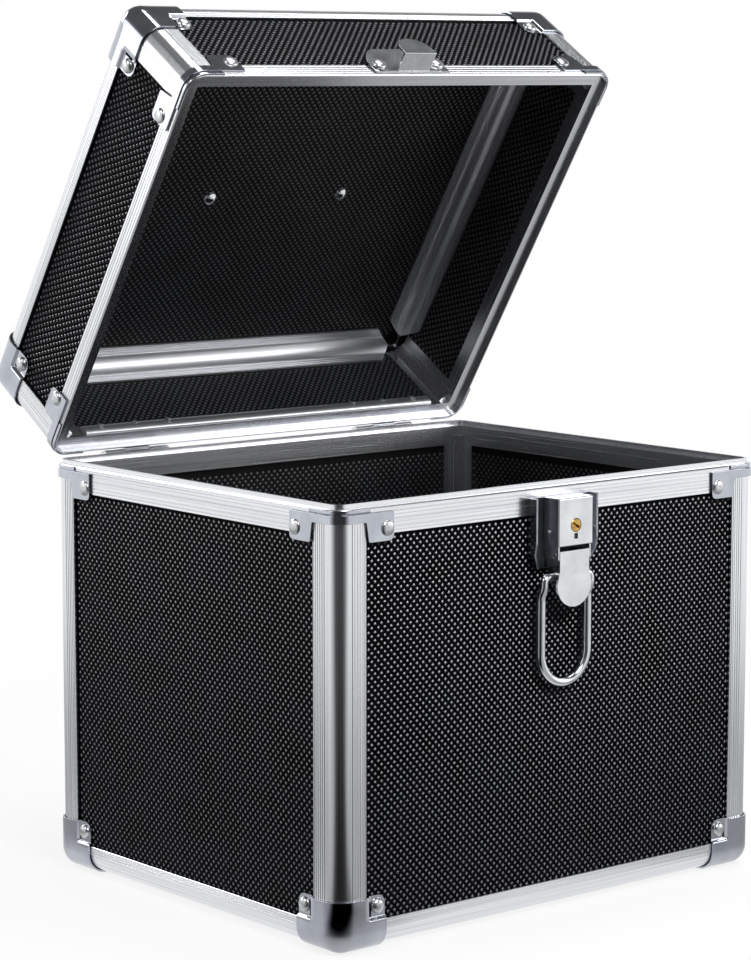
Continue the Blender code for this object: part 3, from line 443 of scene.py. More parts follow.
# Inner angles of the lid: two flanges and a cove between them, with die lines and mitred ends
strip = {"leg": 17 * mm, "thickness": 1.5 * mm, "cove": 9 * mm, "endInset": 16 * mm, "sag": 0.9 * mm,
         "coveSteps": 10, "grooves": [11 * mm, 13.4 * mm, 15.2 * mm], "grooveWidth": 0.6 * mm,
         "grooveDepth": 0.2 * mm}


# The section from a flange's end over the hollow cove to the other flange; the cove sags by a sine of its
# share
def stripSection():
    leg, thick, cove = strip["leg"], strip["thickness"], strip["cove"]
    face = groovedFace(leg, cove, strip["grooves"], strip["grooveWidth"], -strip["grooveDepth"])
    face[:, 1] = thick + face[:, 1]
    share = np.linspace(0, 1, strip["coveSteps"] + 1)[1:-1, None]
    hollow = (1 - share) * [cove, thick] + share * [thick, cove] - strip["sag"] * np.sin(np.pi * share)
    return np.concatenate([[(0, 0), (leg, 0)], face, hollow, face[::-1, ::-1], [(0, leg)]])


for side, sign in (("front", -1), ("rear", 1), ("left", -1), ("right", 1)):
    along = side in ("front", "rear")
    length, across = (case["halfWidth"], case["halfDepth"])[::1 if along else -1]
    flat, start = stripSection(), case["slotDepth"] + case["gap"]
    reach = np.array([[-1], [1]]) * (length - strip["endInset"] - flat.max(1))
    face = sign * (across - start - flat[:, 0]) + 0 * reach
    height = case["lidTopZ"] - start - flat[:, 1] + 0 * reach
    grid = np.stack([reach, face, height] if along else [face, reach, height], -1)
    node = "lid_inner_strip_" + side
    mesh = joinedMesh(node, [(gridMesh(node, inPlace(grid, True), closeEnds=True), 0)])
    showPiece("aluminium_" + node, mesh, [stripAluminium], "lid", [node], 25)
print("profiles made")

# Panels: a slab, embossed with points in staggered rows; the lining inside has the same pattern, lower
panel = {
    "face": 1.9 * mm, "back": 7.9 * mm, "edge": 9.8 * mm,
    "pitch": 4.9 * mm, "half": 1.3 * mm, "top": 0.25 * mm, "height": 0.5 * mm, "sink": 0.05 * mm,
    "liningHalf": 1.5 * mm, "liningHeight": 0.25 * mm, "margin": 0.8 * mm,
    "boxStop": 7.3 * mm, "lidStop": 7.8 * mm,
}


# Staggered rows: one row at every half pitch, every second row shifted along by half a pitch
def latticePlaces(low, high):
    pitch = panel["pitch"]
    counts = [int((high[k] - low[k]) / pitch) + 2 for k in (0, 1)]
    u, v = np.meshgrid(np.arange(counts[0]), np.arange(counts[1]))
    even = np.stack([u.ravel(), v.ravel()], -1) * pitch
    places = np.concatenate([even, even + pitch / 2]) + low
    return places[(places < np.array(high)).all(1)]


# Four-sided points: a diamond at the foot and a smaller one at the top, joined by four sides and closed
# above
def latticePoints(places, half, height):
    diamond = np.array([(1, 0), (0, 1), (-1, 0), (0, -1)], float)
    foot = np.concatenate([diamond * half, np.full((4, 1), -panel["sink"])], 1)
    tip = np.concatenate([diamond * panel["top"], np.full((4, 1), height)], 1)
    centres = np.concatenate([places, np.zeros((len(places), 1))], 1)
    points = (centres[:, None] + np.concatenate([foot, tip])).reshape(-1, 3)
    quads = np.array([(0, 1, 5, 4), (1, 2, 6, 5), (2, 3, 7, 6), (3, 0, 4, 7), (4, 5, 6, 7)])
    faces = (np.arange(len(places))[:, None, None] * 8 + quads).reshape(-1, 4)
    return points, faces


# A panel on one side: its own u, v and outward distance become places in the case
def panelPlaces(side, points, faceInset, sign=1):
    u, v, out = points[:, 0], points[:, 1], faceInset - sign * points[:, 2]
    if side in ("front", "rear"):
        return np.stack([u, (-1 if side == "front" else 1) * (case["halfDepth"] - out), v], -1)
    if side in ("left", "right"):
        return np.stack([(-1 if side == "left" else 1) * (case["halfWidth"] - out), u, v], -1)
    return np.stack([u, v, case["baseZ"] + out if side == "bottom" else case["lidTopZ"] - out], -1)


def rawMesh(name, points, faces):
    mesh = bpy.data.meshes.new(name)
    mesh.from_pydata(points.tolist(), [], faces.tolist())
    mesh.update()
    return mesh


def panelPiece(node, side, low, high, shownLow, shownHigh, body):
    onLid = body == "lid"
    corners = np.array([(low[0], low[1]), (high[0], low[1]), (high[0], high[1]), (low[0], high[1])])
    slab = np.concatenate([np.concatenate([corners, np.full((4, 1), depth)], 1)
                           for depth in (0, panel["face"] - panel["back"])])
    box = np.array([(0, 1, 2, 3), (4, 5, 6, 7), (0, 1, 5, 4), (1, 2, 6, 5), (2, 3, 7, 6), (3, 0, 4, 7)])
    slab = inPlace(panelPlaces(side, slab, panel["face"]), onLid)
    parts = [(rawMesh(node, slab, box[[0, 2, 3, 4, 5]]), 0), (rawMesh(node, slab, box[1:2]), 3)]
    places = latticePlaces(shownLow, shownHigh)
    for inset, sign, half, height, slotNumber in (
            (panel["face"], 1, panel["half"], panel["height"], 1),
            (panel["back"], -1, panel["liningHalf"], panel["liningHeight"], 2)):
        points, faces = latticePoints(places, half, height)
        parts.append((rawMesh(node, inPlace(panelPlaces(side, points, inset, sign), onLid), faces),
                      slotNumber))
    mesh = joinedMesh(node, parts)
    # The raised points on the face and on the lining take the lighter greys, which are painted highlight
    return showPiece("laminate_" + node, mesh, [panelBlack, paintedHighlightPoint, liningPointHighlight, liningGround], body,
                     [node], 20)


wide, deep, margin = case["halfWidth"] - panel["edge"], case["halfDepth"] - panel["edge"], panel["margin"]
shownWide = case["halfWidth"] - profile["postWing"] - margin
shownDeep = case["halfDepth"] - profile["postWing"] - margin
heights = {"box": ((case["baseZ"] + panel["edge"], case["rimZ"] - panel["boxStop"]),
                   (case["baseZ"] + profile["railWing"] + margin, case["rimZ"] - rim["boxFace"] - margin)),
           "lid": ((case["mouthZ"] + panel["lidStop"], case["lidTopZ"] - panel["edge"]),
                   (case["mouthZ"] + rim["lidFace"] + margin,
                    case["lidTopZ"] - profile["railWing"] - margin))}
for body, (ends, shown) in heights.items():
    for side in ("front", "rear", "left", "right"):
        half, seen = (wide, shownWide) if side in ("front", "rear") else (deep, shownDeep)
        panelPiece(body + "_" + side + "_panel", side, (-half, ends[0]), (half, ends[1]),
                   (-seen, shown[0]), (seen, shown[1]), body)
flatWide, flatDeep = (case[key] - profile["railWing"] - margin for key in ("halfWidth", "halfDepth"))
panelPiece("box_bottom_panel", "bottom", (-wide, -deep), (wide, deep), (-flatWide, -flatDeep),
           (flatWide, flatDeep), "box")
panelPiece("lid_top_panel", "top", (-wide, -deep), (wide, deep), (-flatWide, -flatDeep),
           (flatWide, flatDeep), "lid")
print("panels made")

# Chromed corners: a shell on three faces, with a pressed ear beside the post and above the rail on each
ball = {
    "proud": 1.5 * mm, "arm": 36 * mm, "height": 32 * mm, "earRound": 5.5 * mm, "wall": 1.1 * mm,
    "postSide": 22.3 * mm, "railSide": 17.3 * mm, "step": 2 * mm, "earFace": 0.4 * mm, "waist": 1 * mm,
    "waistBefore": 1 * mm, "waistRise": 3 * mm, "edge": 0.22 * mm,
    "roundSteps": 9, "flatSteps": 8, "stepSteps": 6,
}
rivet = {"radius": 4.7 * mm, "height": 1.8 * mm, "sideHeight": 3 * mm, "rings": 7, "sides": 28,
         "foot": 0.3 * mm}


# Distances along one side of the corner: spaced by the tangent over the rounding, even over the flat, close
# at the step
def cornerSteps(stepStart, end):
    radius = case["edgeRadius"] + ball["proud"]
    angles = np.radians(np.linspace(45, 0, ball["roundSteps"] + 1))
    rounding = radius * (1 - np.tan(angles)) - ball["proud"]
    flat = np.linspace(rounding[-1], stepStart, ball["flatSteps"] // 2 + 1)[1:]
    step = np.linspace(stepStart, stepStart + ball["step"], ball["stepSteps"] + 1)[1:]
    return np.concatenate([rounding, flat, step, np.linspace(step[-1], end, ball["flatSteps"] + 1)[1:]])


# A smooth rise from 0 to 1 over a width: 3t^2 - 2t^3
def smoothRise(value, start, width):
    t = np.clip((value - start) / width, 0, 1)
    return t * t * (3 - 2 * t)


# One face of the shell, u and v along it: the block's face pulled in to a ball and two round edges, sunk at
# the ear, its outer corner rounded, and its far end lower over the post than over the ear
def cornerFace(axis, starts, ends, waisted):
    u, v = np.meshgrid(cornerSteps(starts[0], ends[0]), cornerSteps(starts[1], ends[1]), indexing="ij")
    sunk = smoothRise(u, starts[0], ball["step"]) * smoothRise(v, starts[1], ball["step"])
    if waisted is not None:
        low, other = (v, u) if waisted == 1 else (u, v)
        limit = ends[waisted]
        drop = ball["waist"] * (1 - smoothRise(other, starts[1 - waisted] - ball["waistBefore"], ball["waistRise"]))
        low -= drop * np.clip((low - limit / 2) / (limit / 2), 0, 1)
    earCurve = ball["earRound"]
    a, b = u - (ends[0] - earCurve), v - (ends[1] - earCurve)
    inside = (a > 0) & (b > 0)
    pull = np.where(inside, np.maximum(a, b) / np.maximum(np.hypot(a, b), 1e-9), 1)
    u = np.where(inside, ends[0] - earCurve + a * pull, u)
    v = np.where(inside, ends[1] - earCurve + b * pull, v)
    radius, proud = case["edgeRadius"] + ball["proud"], ball["proud"]
    point = np.stack([0 * u, u + proud, v + proud], -1)
    centre = np.maximum(point, radius)
    away = point - centre
    skin = centre + radius * away / np.linalg.norm(away, axis=-1, keepdims=True) - proud
    skin[..., 0] += sunk * (proud + ball["earFace"])
    return skin[..., {0: [0, 1, 2], 1: [1, 0, 2], 2: [1, 2, 0]}[axis]]


# A domed rivet head on a face: rings from the foot over a flattened quarter ellipse to the crown
def domeGrid(place, outward, radius, height, foot):
    share = np.linspace(0, 1, rivet["rings"] + 1)[:, None]
    rise = np.concatenate([[[-foot]], height * np.sin(share * np.pi / 2)])
    reach = np.concatenate([[[radius]], radius * np.cos(share * np.pi / 2) ** 0.75])
    turns = np.linspace(0, 2 * np.pi, rivet["sides"], endpoint=False)
    local = np.stack([reach * np.cos(turns), reach * np.sin(turns), rise + 0 * turns], -1)
    turn = np.array(Vector((0, 0, 1)).rotation_difference(Vector(outward)).to_matrix())
    return local @ turn.T + np.array(place)


# Caps at the mouth corners: a band round the post with a riveted tab on each side, and a bright lip above
cap = {
    "arm": 41.5 * mm, "top": 3 * mm, "bottom": 20 * mm, "band": 8.2 * mm, "window": 20.6 * mm,
    "curve": 2.6 * mm, "round": 3.5 * mm, "rivetReach": 36.5 * mm, "rivetDepth": 12.5 * mm,
    "wall": 1.2 * mm, "lipBack": 0.2 * mm, "lipSteps": 4,
    "lipReach": 25 * mm, "lipHigh": 0.15 * mm, "lipLow": 2.6 * mm, "lipOut": 0.9 * mm, "lipWall": 0.8 * mm,
}


# The way round a mouth corner at an offset from the faces: two straights joined by a quarter circle.
# The parameter runs from minus to plus the way's half length; the second output is the distance from the
# corner.
def roundCorner(way, offset):
    radius, straight = case["edgeRadius"] + offset, case["edgeRadius"]
    quarter = radius * np.pi / 4
    angle = np.clip(way / radius, -np.pi / 4, np.pi / 4)
    x = straight - radius * np.cos(angle + np.pi / 4) + np.maximum(way - quarter, 0)
    y = straight - radius * np.sin(angle + np.pi / 4) + np.maximum(-way - quarter, 0)
    reach = np.where(np.abs(way) > quarter, straight + np.abs(way) - quarter,
                     straight * np.abs(way) / quarter)
    return x, y, reach


# The cap's outer face: from its top edge down to the band over the post, or to the foot of the riveted tabs
def capGrid():
    offset = ball["proud"]
    half = cap["arm"] - case["edgeRadius"] + (case["edgeRadius"] + offset) * np.pi / 4
    shares = np.concatenate([np.linspace(0, 0.36, 12), np.linspace(0.4, 0.62, 22),
                             np.linspace(0.66, 0.86, 6), np.linspace(0.88, 1, 10)])
    way = half * np.concatenate([-shares[:0:-1], shares])
    x, y, reach = roundCorner(way, offset)
    foot = cap["band"] + (cap["bottom"] - cap["band"]) * smoothRise(reach, cap["window"], cap["curve"])
    past = np.clip(reach - (cap["arm"] - cap["round"]), 0, cap["round"])
    foot -= cap["round"] - np.sqrt(cap["round"] ** 2 - past ** 2)
    share = np.linspace(0, 1, 9)[None, :]
    depth = cap["top"] + (foot[:, None] - cap["top"]) * share
    return np.stack([x[:, None] + 0 * depth, y[:, None] + 0 * depth, depth], -1)


# The bright lip above the cap: a small rounded bar along the rim's corner
def lipGrid():
    half = cap["lipReach"] - case["edgeRadius"] + case["edgeRadius"] * np.pi / 4
    way = np.linspace(-half, half, 41)
    low, high, corner = cap["lipHigh"], cap["lipLow"], cap["lipWall"] / 2
    near, far = cap["lipOut"] - corner, cap["lipOut"] - cap["lipWall"] - cap["lipBack"]
    middles = [(near, high - corner), (far, high - corner), (far, low + corner), (near, low + corner)]
    ring = np.concatenate([arcPoints(middle, corner, 90 * k, 90 * k + 90, cap["lipSteps"])
                           for k, middle in enumerate(middles)])
    rows = [np.stack([*roundCorner(way, out)[:2], depth + 0 * way], -1) for out, depth in ring]
    return np.stack(rows, 1)


# A corner's own distances from the two faces and one level become places in the case, mirrored by signs
def fromCorner(points, sx, sy, level, sz):
    return np.stack([sx * (case["halfWidth"] - points[..., 0]), sy * (case["halfDepth"] - points[..., 1]),
                     level + sz * points[..., 2]], -1)


ballFaces = [cornerFace(0, (ball["postSide"], ball["railSide"]), (ball["arm"], ball["height"]), 1),
             cornerFace(1, (ball["postSide"], ball["railSide"]), (ball["arm"], ball["height"]), 1),
             cornerFace(2, (ball["railSide"], ball["railSide"]), (ball["arm"], ball["arm"]), None)]
earMiddles = [((ball["postSide"] + ball["step"] + ball["arm"]) / 2,
               (ball["railSide"] + ball["step"] + ball["height"]) / 2),
              ((ball["railSide"] + ball["step"] + ball["arm"]) / 2,) * 2]
ballRivets = [((ball["earFace"], *earMiddles[0]), (-1, 0, 0), rivet["sideHeight"]),
              ((earMiddles[0][0], ball["earFace"], earMiddles[0][1]), (0, -1, 0), rivet["sideHeight"]),
              ((*earMiddles[1], ball["earFace"]), (0, 0, -1), rivet["height"])]
capRivets = [((cap["rivetReach"], -ball["proud"], cap["rivetDepth"]), (0, -1, 0), rivet["height"]),
             ((-ball["proud"], cap["rivetReach"], cap["rivetDepth"]), (-1, 0, 0), rivet["height"])]
# The slot between the block and the riveted ear: one column of quads past the step, from the ledge upwards
earStart = ball["roundSteps"] + ball["flatSteps"] // 2 + ball["stepSteps"]
earSlot = ((earStart, earStart + 1), (earStart, earStart + 5))
levels = {"box": (case["baseZ"], 1, case["rimZ"], -1), "lid": (case["lidTopZ"], -1, case["mouthZ"], 1)}
for body, (ballLevel, ballSign, capLevel, capSign) in levels.items():
    onLid, rivetParts, lipParts = body == "lid", [], []
    for where, (sx, sy) in cornerSigns.items():
        faces = [(gridMesh("face", inPlace(fromCorner(face, sx, sy, ballLevel, ballSign), onLid),
                           wrapColumns=False,
                           slotRows=earSlot[0] if face is not ballFaces[2] else (0, 0),
                           slotColumns=earSlot[1]), 0)
                 for face in ballFaces]
        node = body + "_corner_" + where
        shell = showPiece("chromed_" + node, joinedMesh(node, faces), [chromedSteel], body,
                          [node])
        middle = inPlace(fromCorner(np.array([ball["arm"]] * 3), sx, sy, ballLevel, ballSign), onLid)
        tab = gridMesh("tab", inPlace(fromCorner(capGrid(), sx, sy, capLevel, capSign), onLid),
                       wrapColumns=False)
        node = body + "_rim_cap_" + where
        strap = showPiece("chromed_" + node, joinedMesh(node, [(tab, 0)]), [chromedSteel], body,
                          [node])
        for piece, wall in ((shell, ball["wall"]), (strap, cap["wall"])):
            polygon = piece.data.polygons[0]
            outside = polygon.normal.dot(polygon.center - Vector(middle)) > 0
            if not outside:
                piece.data.flip_normals()
            thicken = piece.modifiers.new("wall", "SOLIDIFY")
            thicken.thickness, thicken.offset, thicken.use_even_offset = wall, -1, False
            addBevel(piece, ball["edge"])
        for places, level, sz in ((ballRivets, ballLevel, ballSign), (capRivets, capLevel, capSign)):
            for place, outward, height in places:
                grid = domeGrid(place, outward, rivet["radius"], height, rivet["foot"])
                grid = inPlace(fromCorner(grid, sx, sy, level, sz), onLid)
                rivetParts.append((gridMesh("rivet", grid), 0))
        lip = inPlace(fromCorner(lipGrid(), sx, sy, capLevel, capSign), onLid)
        lipParts.append((gridMesh("lip", lip, closeEnds=True), 0))
    showPiece(body + "_corner_rivets", joinedMesh("rivets", rivetParts), [rivetSteel], body,
              sharpDegrees=50)
    showPiece(body + "_mouth_corner_lips", joinedMesh("lips", lipParts), [chromedSteel], body)
print("corners made")


# The mesh of an object with its modifiers worked out
def workedMesh(piece):
    worked = piece.evaluated_get(bpy.context.evaluated_depsgraph_get())
    return bpy.data.meshes.new_from_object(worked)


# A merged copy of a CAD node with its edges eased, so that they catch the light; a cutter's mesh is cut out
# first
def dressedCopy(node, prefix, material, body, ease, degrees=30, cutter=None):
    work = bmesh.new()
    work.from_mesh(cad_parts[node].data)
    bmesh.ops.remove_doubles(work, verts=work.verts, dist=0.005 * mm)
    bmesh.ops.dissolve_limit(work, angle_limit=math.radians(1), verts=work.verts, edges=work.edges)
    mesh = bpy.data.meshes.new(node)
    work.to_mesh(mesh)
    work.free()
    if cutter:
        whole = bpy.data.objects.new(node + "_whole", mesh)
        tool = bpy.data.objects.new(node + "_tool", cutter)
        for item in (whole, tool):
            bpy.context.scene.collection.objects.link(item)
        cut = whole.modifiers.new("cut", "BOOLEAN")
        cut.operation, cut.object, cut.solver = "DIFFERENCE", tool, "EXACT"
        mesh = workedMesh(whole)
        for item in (whole, tool):
            bpy.data.objects.remove(item)
    piece = showPiece(prefix + node, mesh, [material], body, [node], degrees)
    addBevel(piece, ease, 3, degrees)
    piece.modifiers.new("normals", "WEIGHTED_NORMAL").keep_sharp = True
    return piece


# Latch, strike, hinges, handle, bolts and keys
bodyOf = {"latch_strike": "lid", "handle": "lid", "handle_bolt_left": "lid", "handle_bolt_right": "lid",
          "key_first": "key_first", "key_second": "key_second", "latch_lever": "lever",
          "hinge_left_upper_leaf": "lid", "hinge_right_upper_leaf": "lid"}
# How far the edges are eased, in millimetres
steelEases = {
    "latch_lever": 0.6, "latch_lever_pin": 0.2, "latch_strike": 0.75,
    "hinge_left_lower_leaf": 0.2, "hinge_left_upper_leaf": 0.2, "hinge_right_lower_leaf": 0.2,
    "hinge_right_upper_leaf": 0.2, "hinge_left_pin": 0.2, "hinge_right_pin": 0.2,
    "handle_bolt_left": 0.1, "handle_bolt_right": 0.1,
}
otherEases = {"latch_base_plate": 0.45, "keys": 0.3, "handle": 0.8, "latch_lock_body": 0.25}
for node, ease in steelEases.items():
    dressedCopy(node, "steel_", polishedSteel, bodyOf.get(node, "box"), ease * mm)
# The base plate takes the darker copy of the steel: painted shade inside the latch
dressedCopy("latch_base_plate", "steel_", paintedShadeSteel, "box",
            otherEases["latch_base_plate"] * mm)
for node in ("key_first", "key_second"):
    dressedCopy(node, "nickel_", keyNickel, node, otherEases["keys"] * mm)
dressedCopy("handle", "plastic_", handlePlastic, "lid", otherEases["handle"] * mm)

# Lock: a turned brass barrel with a slanting key slot, and a small notch for the key's bit below it
lock = {"front": 15.3 * mm, "drop": 22.3 * mm, "radius": 4 * mm, "length": 9 * mm, "chamfer": 0.25 * mm,
        "slotHalf": 0.62 * mm, "slotReach": 2.9 * mm, "slotDepth": 2 * mm, "slotTilt": -32, "rings": 26,
        "sides": 72,
        "notchHalf": 1.5 * mm, "notchTop": 4.8 * mm, "notchFoot": 8.2 * mm, "notchDepth": 3 * mm,
        "notchBefore": 1 * mm, "shadePlateShare": 0.96, "shadePlateHigh": 2.4 * mm, "shadePlateLow": 0.1 * mm}
lockFront, lockLevel = -case["halfDepth"] - lock["front"], case["rimZ"] - lock["drop"]
low = inPlace([-lock["notchHalf"], lockFront - lock["notchBefore"], lockLevel - lock["notchFoot"]], False)
high = inPlace([lock["notchHalf"], lockFront + lock["notchDepth"], lockLevel - lock["notchTop"]], False)
notch = bmesh.new()
bmesh.ops.create_cube(notch, size=1.0, matrix=Matrix.Translation((low + high) / 2)
                      @ Matrix.Diagonal((*(high - low), 1)))
notchMesh = bpy.data.meshes.new("notch")
notch.to_mesh(notchMesh)
notch.free()
dressedCopy("latch_lock_body", "steel_", polishedSteel, "box",
            otherEases["latch_lock_body"] * mm, cutter=notchMesh)

# Painted shade: a black plate near the notch's floor stands in for the shade inside the notch, so that the notch
# reads as a dark opening
middle, reach = (low + high) / 2, (high - low) / 2
corners = np.array([(-1, -1), (1, -1), (1, 1), (-1, 1)]) * lock["shadePlateShare"]
rows = [np.stack([middle[0] + corners[:, 0] * reach[0], high[1] - depth + 0 * corners[:, 0],
                  middle[2] + corners[:, 1] * reach[2]], -1)
        for depth in (lock["shadePlateHigh"], lock["shadePlateLow"])]
notchShadePlate = joinedMesh("notch painted shade plate", [(gridMesh("notch painted shade plate", np.stack(rows), closeEnds=True), 0)])
showPiece("painted_shade_key_notch_plate", notchShadePlate, [handlePlastic], "box")


# The barrel as rings round its axis: the wall, a chamfer, then the face, sunk where it lies inside the
# tilted slot
def barrelGrid():
    radius, chamfer = lock["radius"], lock["chamfer"]
    reach = np.concatenate([[1e-6, radius, radius],
                            np.linspace(radius - chamfer, 1e-6, lock["rings"])])[:, None]
    deep = np.concatenate([[lock["length"], lock["length"], chamfer], np.zeros(lock["rings"])])[:, None]
    turns = np.linspace(0, 2 * np.pi, lock["sides"], endpoint=False)
    x, z = reach * np.cos(turns), reach * np.sin(turns)
    tilt = math.radians(lock["slotTilt"])
    along, across = x * math.cos(tilt) + z * math.sin(tilt), -x * math.sin(tilt) + z * math.cos(tilt)
    inSlot = (np.abs(along) < lock["slotReach"]) & (np.abs(across) < lock["slotHalf"]) & (deep == 0)
    return np.stack([x, lockFront + deep + lock["slotDepth"] * inSlot, lockLevel + z], -1)


barrel = gridMesh("barrel", inPlace(barrelGrid(), False))
showPiece("brass_latch_lock_cylinder", joinedMesh("barrel", [(barrel, 0)]), [brass], "lock_cylinder",
          ["latch_lock_cylinder"])

# Bail: a round wire from its stub in the lever, down a cranked leg and round the foot of the loop
bail = {"pivotOut": 8 * mm, "pivotDrop": 53.4 * mm, "radius": 2.5 * mm, "leg": 19 * mm, "stub": 9.6 * mm,
        "bend": 3.5 * mm, "crank": 2.85 * mm, "crankStart": 5 * mm, "crankEnd": 13.5 * mm,
        "reach": 65.74 * mm, "loopRadius": 2.9 * mm, "bendSteps": 8, "legSteps": 12,
        "footSteps": 24, "sides": 24}


# Half of the wire's middle line: a quarter circle, a leg that eases back by 3t^2 - 2t^3, then a quarter
# circle
def bailLine():
    bend, leg = bail["bend"], bail["leg"]
    start = arcPoints((leg - bend, -bend), bend, 90, 0, bail["bendSteps"])
    share = np.linspace(0, 1, bail["legSteps"] + 1)
    foot = arcPoints((0, leg - bail["reach"]), leg, 0, -90, bail["footSteps"])
    x = np.concatenate([[bail["stub"]], start[:, 0], leg + 0 * share, foot[:, 0]])
    y = np.concatenate([[0], 0 * start[:, 0], bail["crank"] * share ** 2 * (3 - 2 * share),
                        bail["crank"] + 0 * foot[:, 0]])
    drop = bail["crankStart"] + (bail["crankEnd"] - bail["crankStart"]) * share
    z = np.concatenate([[0], start[:, 1], -drop, foot[:, 1]])
    half = np.stack([x, y, z], -1)
    return np.concatenate([half * (-1, 1, 1), half[-2::-1]])


# A round wire: at each point of the line a circle across the line's direction
def wireGrid(line, radius, sides):
    along = np.gradient(line, axis=0)
    along /= np.linalg.norm(along, axis=1, keepdims=True)
    side = np.stack([along[:, 2], 0 * along[:, 1], -along[:, 0]], -1)
    side /= np.linalg.norm(side, axis=1, keepdims=True)
    out = np.cross(side, along)
    turns = np.linspace(0, 2 * np.pi, sides, endpoint=False)[:, None]
    circle = np.cos(turns) * side[:, None] + np.sin(turns) * out[:, None]
    return line[:, None] + radius[:, None, None] * circle


line = bailLine() + (0, -case["halfDepth"] - bail["pivotOut"], case["rimZ"] - bail["pivotDrop"])
hang = case["rimZ"] - bail["pivotDrop"] - line[:, 2]
thickness = bail["radius"] + (bail["loopRadius"] - bail["radius"]) * smoothRise(hang, bail["crankStart"],
                                                                                bail["bend"])
wireMesh = gridMesh("bail", inPlace(wireGrid(line, thickness, bail["sides"]), False), closeEnds=True)
showPiece("steel_latch_bail", joinedMesh("bail", [(wireMesh, 0)]), [polishedSteel], "bail",
          ["latch_bail"], 50)

# Strike: an arched plate behind the tongue with rounded ears, and a domed rivet on each ear
strike = {"half": 30.5 * mm, "flatTop": 16 * mm, "flatFoot": 21 * mm, "top": 25 * mm, "earTop": 12 * mm,
          "earFoot": 8 * mm, "low": 1.1 * mm, "out": 1.58 * mm, "wall": 0.6 * mm, "edge": 0.2 * mm,
          "rivetReach": 23.5 * mm, "rivetRise": 8.4 * mm, "rivetRadius": 4.7 * mm, "rivetHeight": 2.2 * mm}
rivetPlaces = [(sign * strike["rivetReach"], -case["halfDepth"] - strike["out"] - strike["wall"],
                case["mouthZ"] + strike["rivetRise"]) for sign in (-1, 1)]
domes = [domeGrid(place, (0, -1, 0), strike["rivetRadius"], strike["rivetHeight"], rivet["foot"])
         for place in rivetPlaces]
strikeRivets = [(gridMesh("rivet", inPlace(dome, True)), 0) for dome in domes]
showPiece("strike_rivets", joinedMesh("rivets", strikeRivets), [rivetSteel], "lid",
          sharpDegrees=50)


# The plate's edges fall off past its flat part by a power of the share that is left
def strikeGrid():
    across = strike["half"] * np.sin(np.linspace(-np.pi / 2, np.pi / 2, 61))[:, None]
    past = [np.clip((np.abs(across) - strike[key]) / (strike["half"] - strike[key]), 0, 1)
            for key in ("flatTop", "flatFoot")]
    top = strike["top"] - (strike["top"] - strike["earTop"]) * past[0] ** 2
    foot = strike["earFoot"] * past[1] ** 2
    height = case["mouthZ"] + strike["low"] + foot + (top - foot) * np.linspace(0, 1, 13)
    return np.stack([across + 0 * height, -case["halfDepth"] - strike["out"] + 0 * height, height], -1)


plate = gridMesh("plate", inPlace(strikeGrid(), True), wrapColumns=False)
shoulder = showPiece("steel_strike_plate", joinedMesh("plate", [(plate, 0)]), [polishedSteel], "lid")
if shoulder.data.polygons[0].normal.y > 0:
    shoulder.data.flip_normals()
thicken = shoulder.modifiers.new("wall", "SOLIDIFY")
thicken.thickness, thicken.offset = strike["wall"], 1
addBevel(shoulder, strike["edge"])

# The bead along the rear rim: half an ellipse, half its width up and down, and proud by the sine of the
# angle
bead = {"half": 4.2 * mm, "proud": 2.3 * mm, "reach": 146 * mm, "rise": 8.8 * mm, "sink": 0.1 * mm,
        "steps": 16}
angles = np.linspace(0, np.pi, bead["steps"] + 1)
section = np.stack([case["profileDepth"] - bead["sink"] + bead["proud"] * np.sin(angles),
                    case["mouthZ"] + bead["rise"] - bead["half"] * np.cos(angles)], -1)
beadGrid = inPlace(straightGrid(section, "rear", -bead["reach"], bead["reach"]), True)
showPiece("aluminium_rear_rim_bead", joinedMesh("bead", [(gridMesh("bead", beadGrid, closeEnds=True), 0)]),
          [stripAluminium], "lid")

# Screws of the hinges in that bead: round heads with a crossed recess
screw = {"radius": 3 * mm, "height": 1.2 * mm, "recess": 0.7 * mm, "crossHalf": 0.45 * mm,
         "crossReach": 1.7 * mm, "dome": 0.7,
         "places": [-132 * mm, -105 * mm, -78 * mm, 78 * mm, 105 * mm, 132 * mm], "rise": 9.6 * mm,
         "seat": 1.6 * mm, "rings": 16, "sides": 48}


# A round head as rings: height falls as the square of the share of the radius, and is sunk inside a cross
def screwGrid(x):
    share = np.concatenate([[1, 1], np.linspace(1, 1e-4, screw["rings"])[1:]])[:, None]
    turns = np.linspace(0, 2 * np.pi, screw["sides"], endpoint=False)
    across, up = screw["radius"] * share * np.cos(turns), screw["radius"] * share * np.sin(turns)
    crossed = ((np.abs(across) < screw["crossHalf"]) | (np.abs(up) < screw["crossHalf"])) & (
        np.hypot(across, up) < screw["crossReach"])
    rise = screw["seat"] + screw["height"] * (1 - screw["dome"] * share ** 2) - screw["recess"] * crossed
    rise[0] = 0
    return np.stack([x + across, case["halfDepth"] - case["profileDepth"] - rise,
                     case["mouthZ"] + screw["rise"] + up], -1)


screws = [(gridMesh("screw", inPlace(screwGrid(x), True)), 0) for x in screw["places"]]
showPiece("hinge_screws", joinedMesh("screws", screws), [rivetSteel], "lid", sharpDegrees=50)
print("fittings made")

